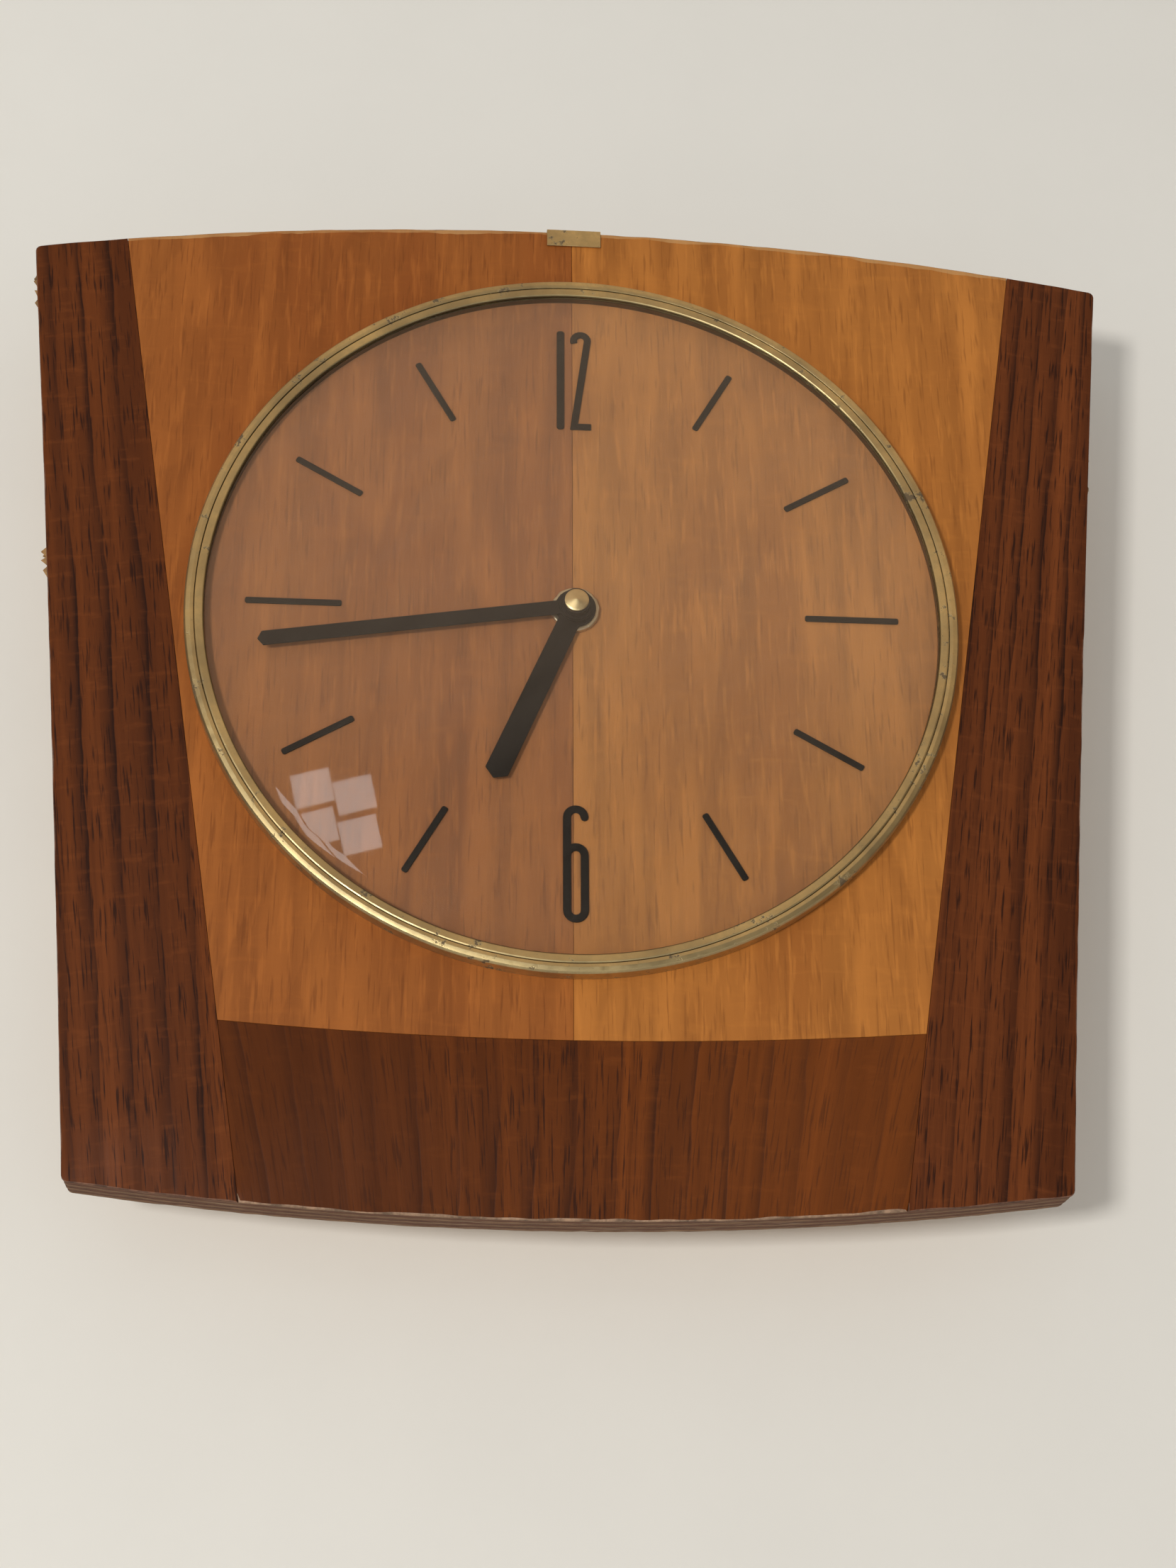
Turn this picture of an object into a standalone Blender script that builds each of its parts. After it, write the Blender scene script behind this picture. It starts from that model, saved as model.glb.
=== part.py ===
"""Battery wall clock of about 1960: an inlaid wood panel with a domed glass over the dial,
and a transistor-driven balance movement in a plastic case behind it.

Sizes are in millimetres and become metres as each mesh is made. X is to the right and Z up
as seen from the front, and Y runs into the wall. The origin is where the wall hook carries
the hanger. Outlines are (x, z) points measured from the hands' axis or from a piece's own axis.
"""

import math

import bpy
import bmesh

MM = 0.001

# ---- Driving dimensions (mm) ----

DIAL_Z = -88.0           # height of the hands' axis, from the wall hook

CASE_DEPTH = 34.0        # from the wall to the panel's back
PANEL_THICK = 12.0
VENEER = 0.6
GLUE = 0.1               # gap between pieces that are glued or clamped flat
GAP = 0.3                # gap between pieces that only rest against each other

TOP_APEX = 121.1         # panel outline, from the hands' axis
TOP_RADIUS = 893.0
BOTTOM_APEX = -161.5
BOTTOM_RADIUS = 930.0
TOP_HALF = 149.4
BOTTOM_HALF = 120.6
SIDE_HOLLOW = 0.7        # how far the sides curve inwards at mid height
CORNER_RADIUS = 1.6

SEAM_X = -0.6            # joint between the two halves of light veneer
INLAY_BASE_HALF = 79.6   # where the inlay's sides reach the panel's bottom edge
INLAY_BASE_Z = -157.0
INLAY_SLOPE = 0.1662
INLAY_APEX = -117.1
INLAY_RADIUS = 1100.0

MARK_OUTER = 86.0
MARK_INNER = 65.6
LONG_MARK_INNER = 61.0
MARK_WIDTH = 1.7
MARK_HEIGHT = 0.5
NUMERAL_BASE = 55.4
NUMERAL_TALL = 31.5
NUMERAL_STROKE = 2.05

BEZEL_OUTER = 101.5
BEZEL_INNER = 96.4
BEZEL_HEIGHT = 4.8
BEZEL_SPLIT = 98.85
LEDGE_HEIGHT = 2.15
GLASS_RISE = 13.5        # top of the dome over the dial
GLASS_THICK = 1.5
GLASS_EDGE_HEIGHT = 3.8
RING_STEPS = 60

MINUTE_ANGLE = 261.2     # degrees clockwise from twelve
HOUR_ANGLE = 203.1

CLEARANCE = 0.12         # between a shaft and its bearing, on the radius
ARBOR = 0.8              # radii of the movement's shafts
PIVOT = 0.5
KNOB_SHAFT = 1.3
KNOB_RADIUS = 6.5

# What sits on the hands' axis, as radii from the outside in.
NUT_RADIUS = 6.4
BUSH_FLANGE = 7.0
BUSH_OUTER = 4.2
BUSH_INNER = 2.75
PIPE_OUTER = 2.6
PIPE_INNER = 1.75
CANNON_OUTER = 1.6
CENTRE_ARBOR = 0.75
CANNON_INNER = CENTRE_ARBOR + CLEARANCE
COLLAR_RADIUS = 3.7
CAP_RADIUS = 3.15

CLIP_WIDTH = 15.2
CLIP_LIP = 5.0
CLIP_METAL = 0.5

FRONT_WALL = 2.0         # plastic case
SIDE_WALL = 2.4
CASE_TOP = 40.0
CASE_HALF = 50.0
SHELF_Z = -15.8          # middle of the wall between the movement and the battery
CASE_BOTTOM = -48.0
BAY_LEFT = -31.0
BAY_RIGHT = 30.4
COVER_RECESS = 6.0
COVER_THICK = 2.0
DOOR_RECESS = 0.6
DOOR_THICK = 2.0
DOOR_GAP = 0.4

BATTERY_RADIUS = 13.1    # a size C cell
BATTERY_BODY = 46.5
BATTERY_LENGTH = 48.5
BATTERY_LEFT = -19.6
BATTERY_Y = -16.6
CONTACT_HALF = 6.0
CONTACT_THICK = 0.6
SPRING_WIRE = 0.45       # radius
SPRING_WIDE = 8.5
SPRING_NARROW = 4.0

STRAP = 1.2              # thickness of the hanger's metal
STRAP_HALF = 15.0
STRAP_ARM = 4.0          # from the wall hook up to the arm's upper face
STRAP_UPPER_LEG = 18.0
STRAP_LOWER_LEG = 24.0
KEYHOLE_DROP = 14.5
KEYHOLE_RADIUS = 4.8
SLOT_HALF = 2.4
SCREW_X = 8.0
SCREW_Z = 101.0
SCREW_SHANK = 1.5        # radii
SCREW_HEAD = 3.3

ROLLER = 2.2             # radii of what turns with the balance
STAFF = 1.0
DISC_RADIUS = 14.5
MAGNET_RADIUS = 2.8
MAGNET_REACH = 10.5
MAGNET_THICK = 1.1
COIL_RADIUS = 6.6
COIL_ARM_HALF = 2.6
SPRING_INNER = 1.35      # hairspring
SPRING_OUTER = 6.4
SPRING_RIBBON = 0.16
REGULATOR_RING = 3.4
REGULATOR_LENGTH = 16.2
REGULATOR_TAB = (13.4, 15.8)

# Axes in the movement, from the hands' axis.
MINUTE_WHEEL_AT = (12.0, 0.0)
SETTING_AT = (24.0, 0.0)
THIRD_AT = (6.3, 10.912)
INDEX_AT = (-4.006, 16.862)
BALANCE_AT = (-27.0, 19.0)
LEVER_AT = (-13.5, 29.5)
PILLARS_AT = ((-40.0, -9.5), (-40.0, 32.5), (29.0, 32.5))
PLATE_LOW = (-44.0, -13.4)
PLATE_HIGH = (33.0, 36.6)

# Teeth: number and module. Centre distances are half of module times the sum of the teeth.
CANNON_TEETH = 12
MINUTE_TEETH = 36
SETTING_TEETH = 12
MOTION_MODULE = 0.5
MINUTE_PINION_TEETH = 10
HOUR_TEETH = 40
HOUR_MODULE = 0.48
CENTRE_TEETH = 64
THIRD_TEETH = 60
PINION_TEETH = 8
TRAIN_MODULE = 0.35
INDEX_TEETH = 60
INDEX_RADIUS = 7.0

# Depths along Y: the dial's face, and what lies behind it.
FACE = -(CASE_DEPTH + PANEL_THICK)
PANEL_BACK = -CASE_DEPTH
CORE_FRONT = FACE + VENEER + GLUE
CASE_FRONT = PANEL_BACK + GAP
CASE_INSIDE = CASE_FRONT + FRONT_WALL
FRONT_PLATE = (-26.9, -25.7)
BACK_PLATE = (-12.0, -10.8)
HOUR_HAND = (FACE - 2.4, FACE - 1.95)
MINUTE_HAND = (FACE - 3.7, FACE - 3.2)
COLLAR_STEP = FACE - 4.3
COLLAR_TOP = FACE - 6.2
CAP_TOP = FACE - 7.3
HOUR_WHEEL = (-30.3, -29.4)
MINUTE_WHEEL = (-28.7, -27.8)
CANNON_PINION = (-29.0, -27.4)
SETTING_PINION = (-28.9, -27.5)
KNOB = (-9.6, -2.2)
KNOB_BUTTON = -1.4
CENTRE_WHEEL = (-22.4, -21.6)
THIRD_WHEEL = (-19.6, -18.8)
THIRD_PINION = (-23.2, -20.8)
INDEX_WHEEL = (-24.6, -24.1)
INDEX_PINION = (-20.4, -18.0)
ARBOR_ENDS = (-25.4, -12.2)
LEVER = (-24.7, -24.0)
ROLLER_DEPTHS = (-24.9, -23.9)
FRONT_DISC = (-22.6, -21.8)
REAR_DISC = (-16.3, -15.5)
COIL = (-20.1, -18.0)
BOARD = (-17.7, -16.2)
HAIRSPRING = (-14.6, -13.6)
REGULATOR = (-10.5, -9.7)
REGULATOR_TAB_END = -5.0
SCREW_TIP = PANEL_BACK - 7.5

# Heights in the case, from the hands' axis.
BAY_TOP = SHELF_Z - SIDE_WALL / 2
BAY_LOW = CASE_BOTTOM + SIDE_WALL
DOOR_HINGE_Z = BAY_LOW + DOOR_GAP
BATTERY_Z = (BAY_TOP + BAY_LOW) / 2
HOOK_Z = -DIAL_Z

# ---- Materials: colour, roughness, metallic ----

FINISHES = {
    "plywood": ((0.50, 0.33, 0.20), 0.80, 0.0),
    "light_veneer": ((0.42, 0.17, 0.045), 0.35, 0.0),
    "dark_veneer": ((0.11, 0.035, 0.018), 0.38, 0.0),
    "black": ((0.025, 0.023, 0.022), 0.45, 0.0),
    "aged_brass": ((0.36, 0.28, 0.13), 0.45, 0.9),
    "brass": ((0.72, 0.53, 0.25), 0.30, 1.0),
    "steel": ((0.55, 0.55, 0.56), 0.35, 1.0),
    "glass": ((0.95, 0.97, 0.96), 0.04, 0.0),
    "ivory_plastic": ((0.62, 0.55, 0.40), 0.45, 0.0),
    "brown_plastic": ((0.09, 0.05, 0.035), 0.40, 0.0),
    "white_plastic": ((0.80, 0.78, 0.72), 0.40, 0.0),
    "copper": ((0.50, 0.20, 0.09), 0.40, 0.9),
    "resin_board": ((0.40, 0.22, 0.09), 0.55, 0.0),
    "battery_wrap": ((0.10, 0.16, 0.28), 0.40, 0.2),
}


def finish_of(name):
    """The material of this name, made the first time it is asked for."""
    if name in bpy.data.materials:
        return bpy.data.materials[name]
    colour, roughness, metallic = FINISHES[name]
    made = bpy.data.materials.new(name)
    made.use_nodes = True
    shader = made.node_tree.nodes["Principled BSDF"]
    shader.inputs["Base Color"].default_value = (*colour, 1.0)
    shader.inputs["Roughness"].default_value = roughness
    shader.inputs["Metallic"].default_value = metallic
    if name == "glass":
        shader.inputs["Transmission Weight"].default_value = 1.0
    return made


# ---- Making solids ----

def place(name, mesh_data, finish, at=(0.0, 0.0), depth=0.0):
    """Links an object with its origin at this (x, z) from the hands' axis, at this depth."""
    mesh = bpy.data.meshes.new(name)
    bmesh.ops.recalc_face_normals(mesh_data, faces=mesh_data.faces)
    mesh_data.to_mesh(mesh)
    mesh_data.free()
    mesh.shade_smooth()
    mesh.set_sharp_from_angle(angle=math.radians(35))
    mesh.materials.append(finish_of(finish))
    made = bpy.data.objects.new(name, mesh)
    made.location = (at[0] * MM, depth * MM, (DIAL_Z + at[1]) * MM)
    bpy.context.collection.objects.link(made)
    return made


def closed_loop(work, points, y):
    """Vertices and edges of one outline at this depth."""
    verts = [work.verts.new((x * MM, y * MM, z * MM)) for x, z in points]
    edges = [work.edges.new((verts[i - 1], verts[i])) for i in range(len(verts))]
    return verts, edges


def wall(work, front, back):
    """The faces that join two loops of the same length."""
    for i in range(len(front)):
        work.faces.new((front[i - 1], front[i], back[i], back[i - 1]))


def fill(work, edges):
    bmesh.ops.triangle_fill(work, use_beauty=True, use_dissolve=False, edges=edges)


def stack(name, layers, finish, at=(0.0, 0.0), holes=()):
    """One closed solid of flat layers, each (outline, y_front, y_back), with holes right through."""
    work = bmesh.new()
    last_edges = []
    first_y, last_y = layers[0][1], layers[-1][2]
    ends = [[], []]
    for points in holes:
        front, front_edges = closed_loop(work, points, first_y)
        back, back_edges = closed_loop(work, points, last_y)
        wall(work, front, back)
        ends[0] += front_edges
        ends[1] += back_edges
    for index, (points, y_front, y_back) in enumerate(layers):
        front, front_edges = closed_loop(work, points, y_front)
        back, back_edges = closed_loop(work, points, y_back)
        wall(work, front, back)
        fill(work, front_edges + (last_edges if index else ends[0]))
        last_edges = back_edges
    fill(work, last_edges + ends[1])
    return place(name, work, finish, at)


def turned(name, profile, finish, at=(0.0, 0.0), depth=0.0, steps=32):
    """A closed outline of (radius, y) points, turned about the Y axis."""
    work = bmesh.new()
    verts = [work.verts.new((radius * MM, y * MM, 0.0)) for radius, y in profile]
    edges = [work.edges.new((verts[i - 1], verts[i])) for i in range(len(verts))]
    on_axis = [e for e in edges if e.verts[0].co.x == 0.0 and e.verts[1].co.x == 0.0]
    bmesh.ops.delete(work, geom=on_axis, context="EDGES_FACES")
    edges = [e for e in edges if e.is_valid]
    bmesh.ops.spin(
        work, geom=verts + edges, axis=(0, 1, 0), cent=(0, 0, 0), angle=2 * math.pi, steps=steps
    )
    bmesh.ops.remove_doubles(work, verts=work.verts, dist=1e-7)
    return place(name, work, finish, at, depth)


def folded(name, outline, half_width, finish, at_x=0.0):
    """A bent strip: a (y, z) outline, as wide as this to each side of at_x."""
    work = bmesh.new()
    sides = []
    for x in (-half_width, half_width):
        verts = [work.verts.new((x * MM, y * MM, z * MM)) for y, z in outline]
        work.faces.new(verts)
        sides.append(verts)
    wall(work, *sides)
    return place(name, work, finish, (at_x, 0.0))


def cut(target, tool):
    """Takes one solid out of another and leaves the tool as a hidden helper."""
    combine(target, tool, "DIFFERENCE")


def add(target, tool):
    combine(target, tool, "UNION")


def combine(target, tool, operation):
    change = target.modifiers.new(tool.name, "BOOLEAN")
    change.operation = operation
    change.object = tool
    tool.hide_render = True
    tool.display_type = "WIRE"


# ---- Outlines ----

def arc(centre, radius, start, end, steps):
    """Points from one angle to another, in degrees from +X, both ends included."""
    angles = [math.radians(start + (end - start) * i / steps) for i in range(steps + 1)]
    return [(centre[0] + radius * math.cos(a), centre[1] + radius * math.sin(a)) for a in angles]


def circle(radius, steps=20, centre=(0.0, 0.0)):
    return arc(centre, radius, 0.0, 360.0, steps)[:-1]


def turn(points, degrees):
    """Points turned anticlockwise about (0, 0), as seen from the front."""
    c, s = math.cos(math.radians(degrees)), math.sin(math.radians(degrees))
    return [(x * c - z * s, x * s + z * c) for x, z in points]


def shift(points, by):
    return [(x + by[0], z + by[1]) for x, z in points]


def round_corner(before, corner, after, radius, steps=3):
    """The arc that replaces a corner between two straight edges."""
    into = math.atan2(before[1] - corner[1], before[0] - corner[0])
    out = math.atan2(after[1] - corner[1], after[0] - corner[0])
    opening = (out - into + math.pi) % (2 * math.pi) - math.pi
    reach = radius / math.sin(abs(opening) / 2)
    middle = into + opening / 2
    centre = (corner[0] + reach * math.cos(middle), corner[1] + reach * math.sin(middle))
    turned_by = math.copysign(math.pi - abs(opening), -opening)
    start = middle + math.pi - turned_by / 2
    return arc(centre, radius, math.degrees(start), math.degrees(start + turned_by), steps)


def rounded(points, radius, steps=3):
    """A polygon with every corner rounded."""
    count = len(points)
    made = []
    for i, corner in enumerate(points):
        made += round_corner(points[i - 1], corner, points[(i + 1) % count], radius, steps)
    return made


def box(low, high):
    return [(low[0], low[1]), (high[0], low[1]), (high[0], high[1]), (low[0], high[1])]


def panel_top(x):
    return TOP_APEX - TOP_RADIUS + math.sqrt(TOP_RADIUS**2 - x * x)


def panel_bottom(x):
    return BOTTOM_APEX + BOTTOM_RADIUS - math.sqrt(BOTTOM_RADIUS**2 - x * x)


def inlay_bottom(x):
    return INLAY_APEX + INLAY_RADIUS - math.sqrt(INLAY_RADIUS**2 - x * x)


def inlay_half(z):
    return INLAY_BASE_HALF + (z - INLAY_BASE_Z) * INLAY_SLOPE


def meet(half_at, height_at):
    """Where an edge given as half-width at a height crosses an edge given as height at an x."""
    half = TOP_HALF
    for _ in range(20):
        half = half_at(height_at(half))
    return half


def along(height_at, start, end, steps):
    """Points on a curve given as height at an x, evenly spaced in x."""
    xs = [start + (end - start) * i / steps for i in range(steps + 1)]
    return [(x, height_at(x)) for x in xs]


def panel_side():
    """The right side from bottom to top, slightly hollow, with both corners rounded."""
    low = (BOTTOM_HALF, panel_bottom(BOTTOM_HALF))
    high = (TOP_HALF, panel_top(TOP_HALF))
    steps = 8
    middle = []
    for i in range(1, steps):
        t = i / steps
        x = low[0] + (high[0] - low[0]) * t - 4 * SIDE_HOLLOW * t * (1 - t)
        middle.append((x, low[1] + (high[1] - low[1]) * t))
    near_low = (low[0] - 10.0, panel_bottom(low[0] - 10.0))
    near_high = (high[0] - 10.0, panel_top(high[0] - 10.0))
    foot = round_corner(near_low, low, middle[0], CORNER_RADIUS)
    head = round_corner(middle[-1], high, near_high, CORNER_RADIUS)
    return foot + middle + head


def mirrored(points):
    return [(-x, z) for x, z in reversed(points)]


def panel_outline():
    side = panel_side()
    reach_low, reach_high = side[0][0], side[-1][0]
    bottom = along(panel_bottom, -reach_low, reach_low, 24)[1:-1]
    top = along(panel_top, reach_high, -reach_high, 28)[1:-1]
    return bottom + side + top + mirrored(side)


def gear(teeth, module, phase=0.0):
    """Teeth with straight flanks, thin enough to run clear of their neighbours at any angle."""
    pitch = teeth * module / 2
    root, tip = pitch - 1.2 * module, pitch + 0.72 * module
    points = []
    for k in range(teeth):
        middle = phase + k / teeth * 2 * math.pi
        for radius, share in ((root, -0.26), (tip, -0.09), (tip, 0.09), (root, 0.26)):
            a = middle + share / teeth * 2 * math.pi
            points.append((radius * math.cos(a), radius * math.sin(a)))
    return points


def meshed_phase(teeth, phase, towards, other_teeth):
    """The phase, in radians, at which a second wheel's gap meets the first wheel's tooth."""
    ahead = (phase - towards) * teeth / (2 * math.pi)
    return towards + math.pi - (ahead + 0.5) * 2 * math.pi / other_teeth


def direction(start, end):
    return math.atan2(end[1] - start[1], end[0] - start[0])


def ratchet(teeth, radius, depth):
    """Saw teeth, each with one steep face."""
    points = []
    for k in range(teeth):
        for share, r in ((0.0, radius - depth), (0.12, radius), (0.55, radius - depth * 0.55)):
            a = (k + share) / teeth * 2 * math.pi
            points.append((r * math.cos(a), r * math.sin(a)))
    return points


def hand(hub, root_half, tip_half, shoulder, tip, clockwise):
    """A round hub and a straight blade with a blunt point, turned to its angle on the dial."""
    start = math.degrees(math.asin(root_half / hub))
    around = arc((0.0, 0.0), hub, start, 360.0 - start, 20)
    blade = [(shoulder, -tip_half), (tip, 0.0), (shoulder, tip_half)]
    return turn(around + blade, 90.0 - clockwise)


# ---- Panel ----

def make_core():
    """The plywood board, with a hole for the bush and two pilot holes for the hanger's screws."""
    hole = circle(BUSH_OUTER + 0.8, 20)
    core = stack("panel_core", [(panel_outline(), CORE_FRONT, PANEL_BACK)], "plywood", holes=[hole])
    for side, x in (("left", -SCREW_X), ("right", SCREW_X)):
        pilot = stack(
            f"pilot_{side}",
            [(circle(SCREW_SHANK + CLEARANCE, 12), SCREW_TIP - GAP, PANEL_BACK + 1.0)],
            "steel",
            at=(x, SCREW_Z),
        )
        cut(core, pilot)


def make_veneers():
    """Two light halves, a dark strip down each side and a dark foot."""
    half_glue = GLUE / 2
    inlay_top = meet(lambda z: inlay_half(z) - half_glue, panel_top)
    inlay_low = meet(lambda z: inlay_half(z) - half_glue, inlay_bottom)
    for name, sign in (("veneer_light_right", 1), ("veneer_light_left", -1)):
        seam = sign * SEAM_X + half_glue
        low = along(inlay_bottom, seam, inlay_low, 6)
        high = along(panel_top, inlay_top, seam, 10)
        points = low + high + bush_notch(seam)
        if sign < 0:
            points = mirrored(points)
        stack(name, [(points, FACE, FACE + VENEER)], "light_veneer")

    strip_top = meet(lambda z: inlay_half(z) + half_glue, panel_top)
    strip_low = meet(lambda z: inlay_half(z) + half_glue, panel_bottom)
    side = panel_side()
    strip = (
        along(panel_bottom, strip_low, side[0][0], 3)[:-1]
        + side
        + along(panel_top, side[-1][0], strip_top, 3)[1:]
    )
    stack("veneer_dark_right", [(strip, FACE, FACE + VENEER)], "dark_veneer")
    stack("veneer_dark_left", [(mirrored(strip), FACE, FACE + VENEER)], "dark_veneer")

    foot_low = meet(lambda z: inlay_half(z) - half_glue, panel_bottom)
    foot_high = meet(lambda z: inlay_half(z) - half_glue, lambda x: inlay_bottom(x) - GLUE)
    foot = along(panel_bottom, -foot_low, foot_low, 14)
    foot += [(x, z - GLUE) for x, z in along(inlay_bottom, foot_high, -foot_high, 12)]
    stack("veneer_dark_bottom", [(foot, FACE, FACE + VENEER)], "dark_veneer")


def bush_notch(seam):
    """The half-round notch that each light veneer has round the bush, from the top down."""
    radius = BUSH_OUTER + 0.4
    top = math.degrees(math.acos(seam / radius))
    return arc((0.0, 0.0), radius, top, -top, 10)


def bar(length, width, radius=0.35):
    """An upright bar with its lower end at z = 0 and slightly rounded corners."""
    return rounded(box((-width / 2, 0.0), (width / 2, length)), radius, 1)


def make_marks():
    """A raised bar at each hour but six and twelve, with longer ones at three and nine."""
    front = FACE - GLUE - MARK_HEIGHT
    back = FACE - GLUE
    for hour in (1, 2, 3, 4, 5, 7, 8, 9, 10, 11):
        inner = LONG_MARK_INNER if hour in (3, 9) else MARK_INNER
        points = shift(bar(MARK_OUTER - inner, MARK_WIDTH), (0.0, inner))
        stack(f"hour_mark_{hour:02d}", [(turn(points, -30.0 * hour), front, back)], "black")


def stroke(points, width):
    """The outline of a pen stroke of constant width along these points, with mitred bends."""
    left, right = [], []
    for i, (x, z) in enumerate(points):
        before = points[max(i - 1, 0)]
        after = points[min(i + 1, len(points) - 1)]
        a = direction(before, (x, z)) if i else direction((x, z), after)
        b = direction((x, z), after) if i < len(points) - 1 else a
        bend = (b - a + math.pi) % (2 * math.pi) - math.pi
        normal = a + bend / 2 + math.pi / 2
        reach = width / 2 / math.cos(bend / 2)
        left.append((x + reach * math.cos(normal), z + reach * math.sin(normal)))
        right.append((x - reach * math.cos(normal), z - reach * math.sin(normal)))
    return left + right[::-1]


def numeral_two():
    """Two, as one stroke: hook, long slanted back, and foot."""
    width = NUMERAL_STROKE * 0.93
    hook_radius = 1.92
    foot_z = NUMERAL_BASE + width / 2
    centre = (1.7, NUMERAL_BASE + NUMERAL_TALL - hook_radius - width / 2)
    hook = arc(centre, hook_radius, 205.0, 0.0, 10)
    return stroke(hook + [(-0.15, foot_z), (4.5, foot_z)], width)


def numeral_six():
    """Six: a narrow upright bowl with a slot, and a stem that hooks over at the top."""
    half = 3.25
    bowl_tall = 21.2
    inner = half - NUMERAL_STROKE
    base = -(NUMERAL_BASE + NUMERAL_TALL)
    crown = -NUMERAL_BASE - half
    bowl = base + bowl_tall - half
    shoulder = math.degrees(math.acos(-inner / half))
    outer = arc((0.0, base + half), half, 180.0, 360.0, 10)
    outer += arc((0.0, bowl), half, 0.0, shoulder, 6)
    outer += arc((0.0, crown), inner, 180.0, 0.0, 6)
    outer += arc((half - NUMERAL_STROKE / 2, crown), NUMERAL_STROKE / 2, 180.0, 360.0, 4)[1:-1]
    outer += arc((0.0, crown), half, 0.0, 180.0, 10)
    slot = arc((0.0, base + half), inner, 180.0, 360.0, 6)
    slot += arc((0.0, bowl), inner, 0.0, 180.0, 6)
    return outer, slot


def make_numerals():
    """Twelve at the top, as a one and a two, and six at the bottom."""
    front = FACE - GLUE - MARK_HEIGHT
    back = FACE - GLUE
    one_x = -3.85
    one = shift(bar(NUMERAL_TALL, NUMERAL_STROKE, 0.5), (one_x, NUMERAL_BASE))
    stack("numeral_1", [(one, front, back)], "black")
    stack("numeral_2", [(numeral_two(), front, back)], "black")
    outer, slot = numeral_six()
    stack("numeral_6", [(outer, front, back)], "black", holes=[slot])


# ---- Bezel and glass ----

def make_bezel():
    """An outer ring with a ledge for the glass, and an inner ring that keeps the glass down."""
    foot = FACE - GLUE
    ledge = FACE - LEDGE_HEIGHT
    top = FACE - BEZEL_HEIGHT
    edge = 0.25
    ring = [
        (BEZEL_INNER + 0.1, foot),
        (BEZEL_INNER + 0.1, ledge),
        (BEZEL_SPLIT + 0.1, ledge),
        (BEZEL_SPLIT + 0.1, top),
        (BEZEL_OUTER - edge, top),
        (BEZEL_OUTER, top + edge),
        (BEZEL_OUTER, foot),
    ]
    turned("bezel_ring", ring, "aged_brass", steps=RING_STEPS)
    under = FACE - GLASS_EDGE_HEIGHT - 0.15
    keeper = [
        (BEZEL_INNER, under),
        (BEZEL_INNER, top + edge),
        (BEZEL_INNER + edge, top + 0.05),
        (BEZEL_SPLIT - 0.1, top + 0.05),
        (BEZEL_SPLIT - 0.1, under),
    ]
    turned("glass_keeper_ring", keeper, "aged_brass", steps=RING_STEPS)


def make_glass():
    """A dome of one thickness with a flat rim, held between the bezel's ledge and the keeper."""
    rim_outer = BEZEL_SPLIT - 0.35
    rim_inner = BEZEL_INNER - 0.4
    rise = GLASS_RISE - GLASS_EDGE_HEIGHT
    sphere = (rim_inner**2 + rise**2) / (2 * rise)

    def height(radius, radius_of_curve):
        return math.sqrt(radius_of_curve**2 - radius**2) - (sphere - rise)

    rings = 4
    reaches = [rim_inner * k / rings for k in range(rings, -1, -1)]
    outer = [(r, FACE - GLASS_EDGE_HEIGHT - height(r, sphere)) for r in reaches]
    inside = [r * (1 - GLASS_THICK / sphere) for r in reversed(reaches)]
    inner_curve = sphere - GLASS_THICK
    inner = [(r, FACE - GLASS_EDGE_HEIGHT - height(r, inner_curve)) for r in inside]
    rim = [(rim_outer, inner[-1][1]), (rim_outer, FACE - GLASS_EDGE_HEIGHT)]
    turned("glass_dome", outer + inner + rim, "glass", steps=40)


# ---- Hands and what carries them ----

def make_bush():
    """The threaded bush that clamps the case to the panel, and its nut on the dial."""
    bush_front = FACE - 1.75
    flange = (CASE_INSIDE + GAP, CASE_INSIDE + 1.1)
    profile = [
        (BUSH_INNER, bush_front),
        (BUSH_OUTER, bush_front),
        (BUSH_OUTER, flange[0]),
        (BUSH_FLANGE, flange[0]),
        (BUSH_FLANGE, flange[1]),
        (BUSH_INNER, flange[1]),
    ]
    turned("centre_bush", profile, "brass", steps=24)
    nut_back = FACE - GLUE
    nut_front = FACE - 1.6
    bevel = 0.3
    nut = [
        (BUSH_OUTER + GLUE, nut_back),
        (NUT_RADIUS, nut_back),
        (NUT_RADIUS, nut_front + bevel),
        (NUT_RADIUS - bevel, nut_front),
        (BUSH_OUTER + GLUE, nut_front),
    ]
    turned("dial_nut", nut, "brass", steps=24)


def make_hands():
    """The hour hand on its pipe, the minute hand with its collar, and the cap in front."""
    hour = hand(5.4, 2.9, 3.12, 51.5, 53.5, HOUR_ANGLE)
    stack(
        "hour_hand",
        [(hour, *HOUR_HAND)],
        "black",
        holes=[circle(PIPE_OUTER + GLUE, 20)],
    )
    minute = hand(4.7, 1.98, 2.0, 81.7, 83.0, MINUTE_ANGLE)
    stack(
        "minute_hand",
        [
            (circle(COLLAR_RADIUS, 20), COLLAR_TOP, COLLAR_STEP),
            (circle(COLLAR_RADIUS + 0.8, 20), COLLAR_STEP, MINUTE_HAND[0]),
            (minute, *MINUTE_HAND),
        ],
        "black",
        holes=[circle(CANNON_INNER, 12)],
    )
    cap_back = COLLAR_TOP - GLUE
    socket_end = CAP_TOP + 0.6
    cap = [
        (0.0, CAP_TOP),
        (CAP_RADIUS - 0.4, CAP_TOP + 0.25),
        (CAP_RADIUS, CAP_TOP + 0.55),
        (CAP_RADIUS, cap_back),
        (CANNON_INNER, cap_back),
        (CANNON_INNER, socket_end),
        (0.0, socket_end),
    ]
    turned("hand_cap", cap, "brass", steps=24)


# ---- Motion work and going train ----

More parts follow.
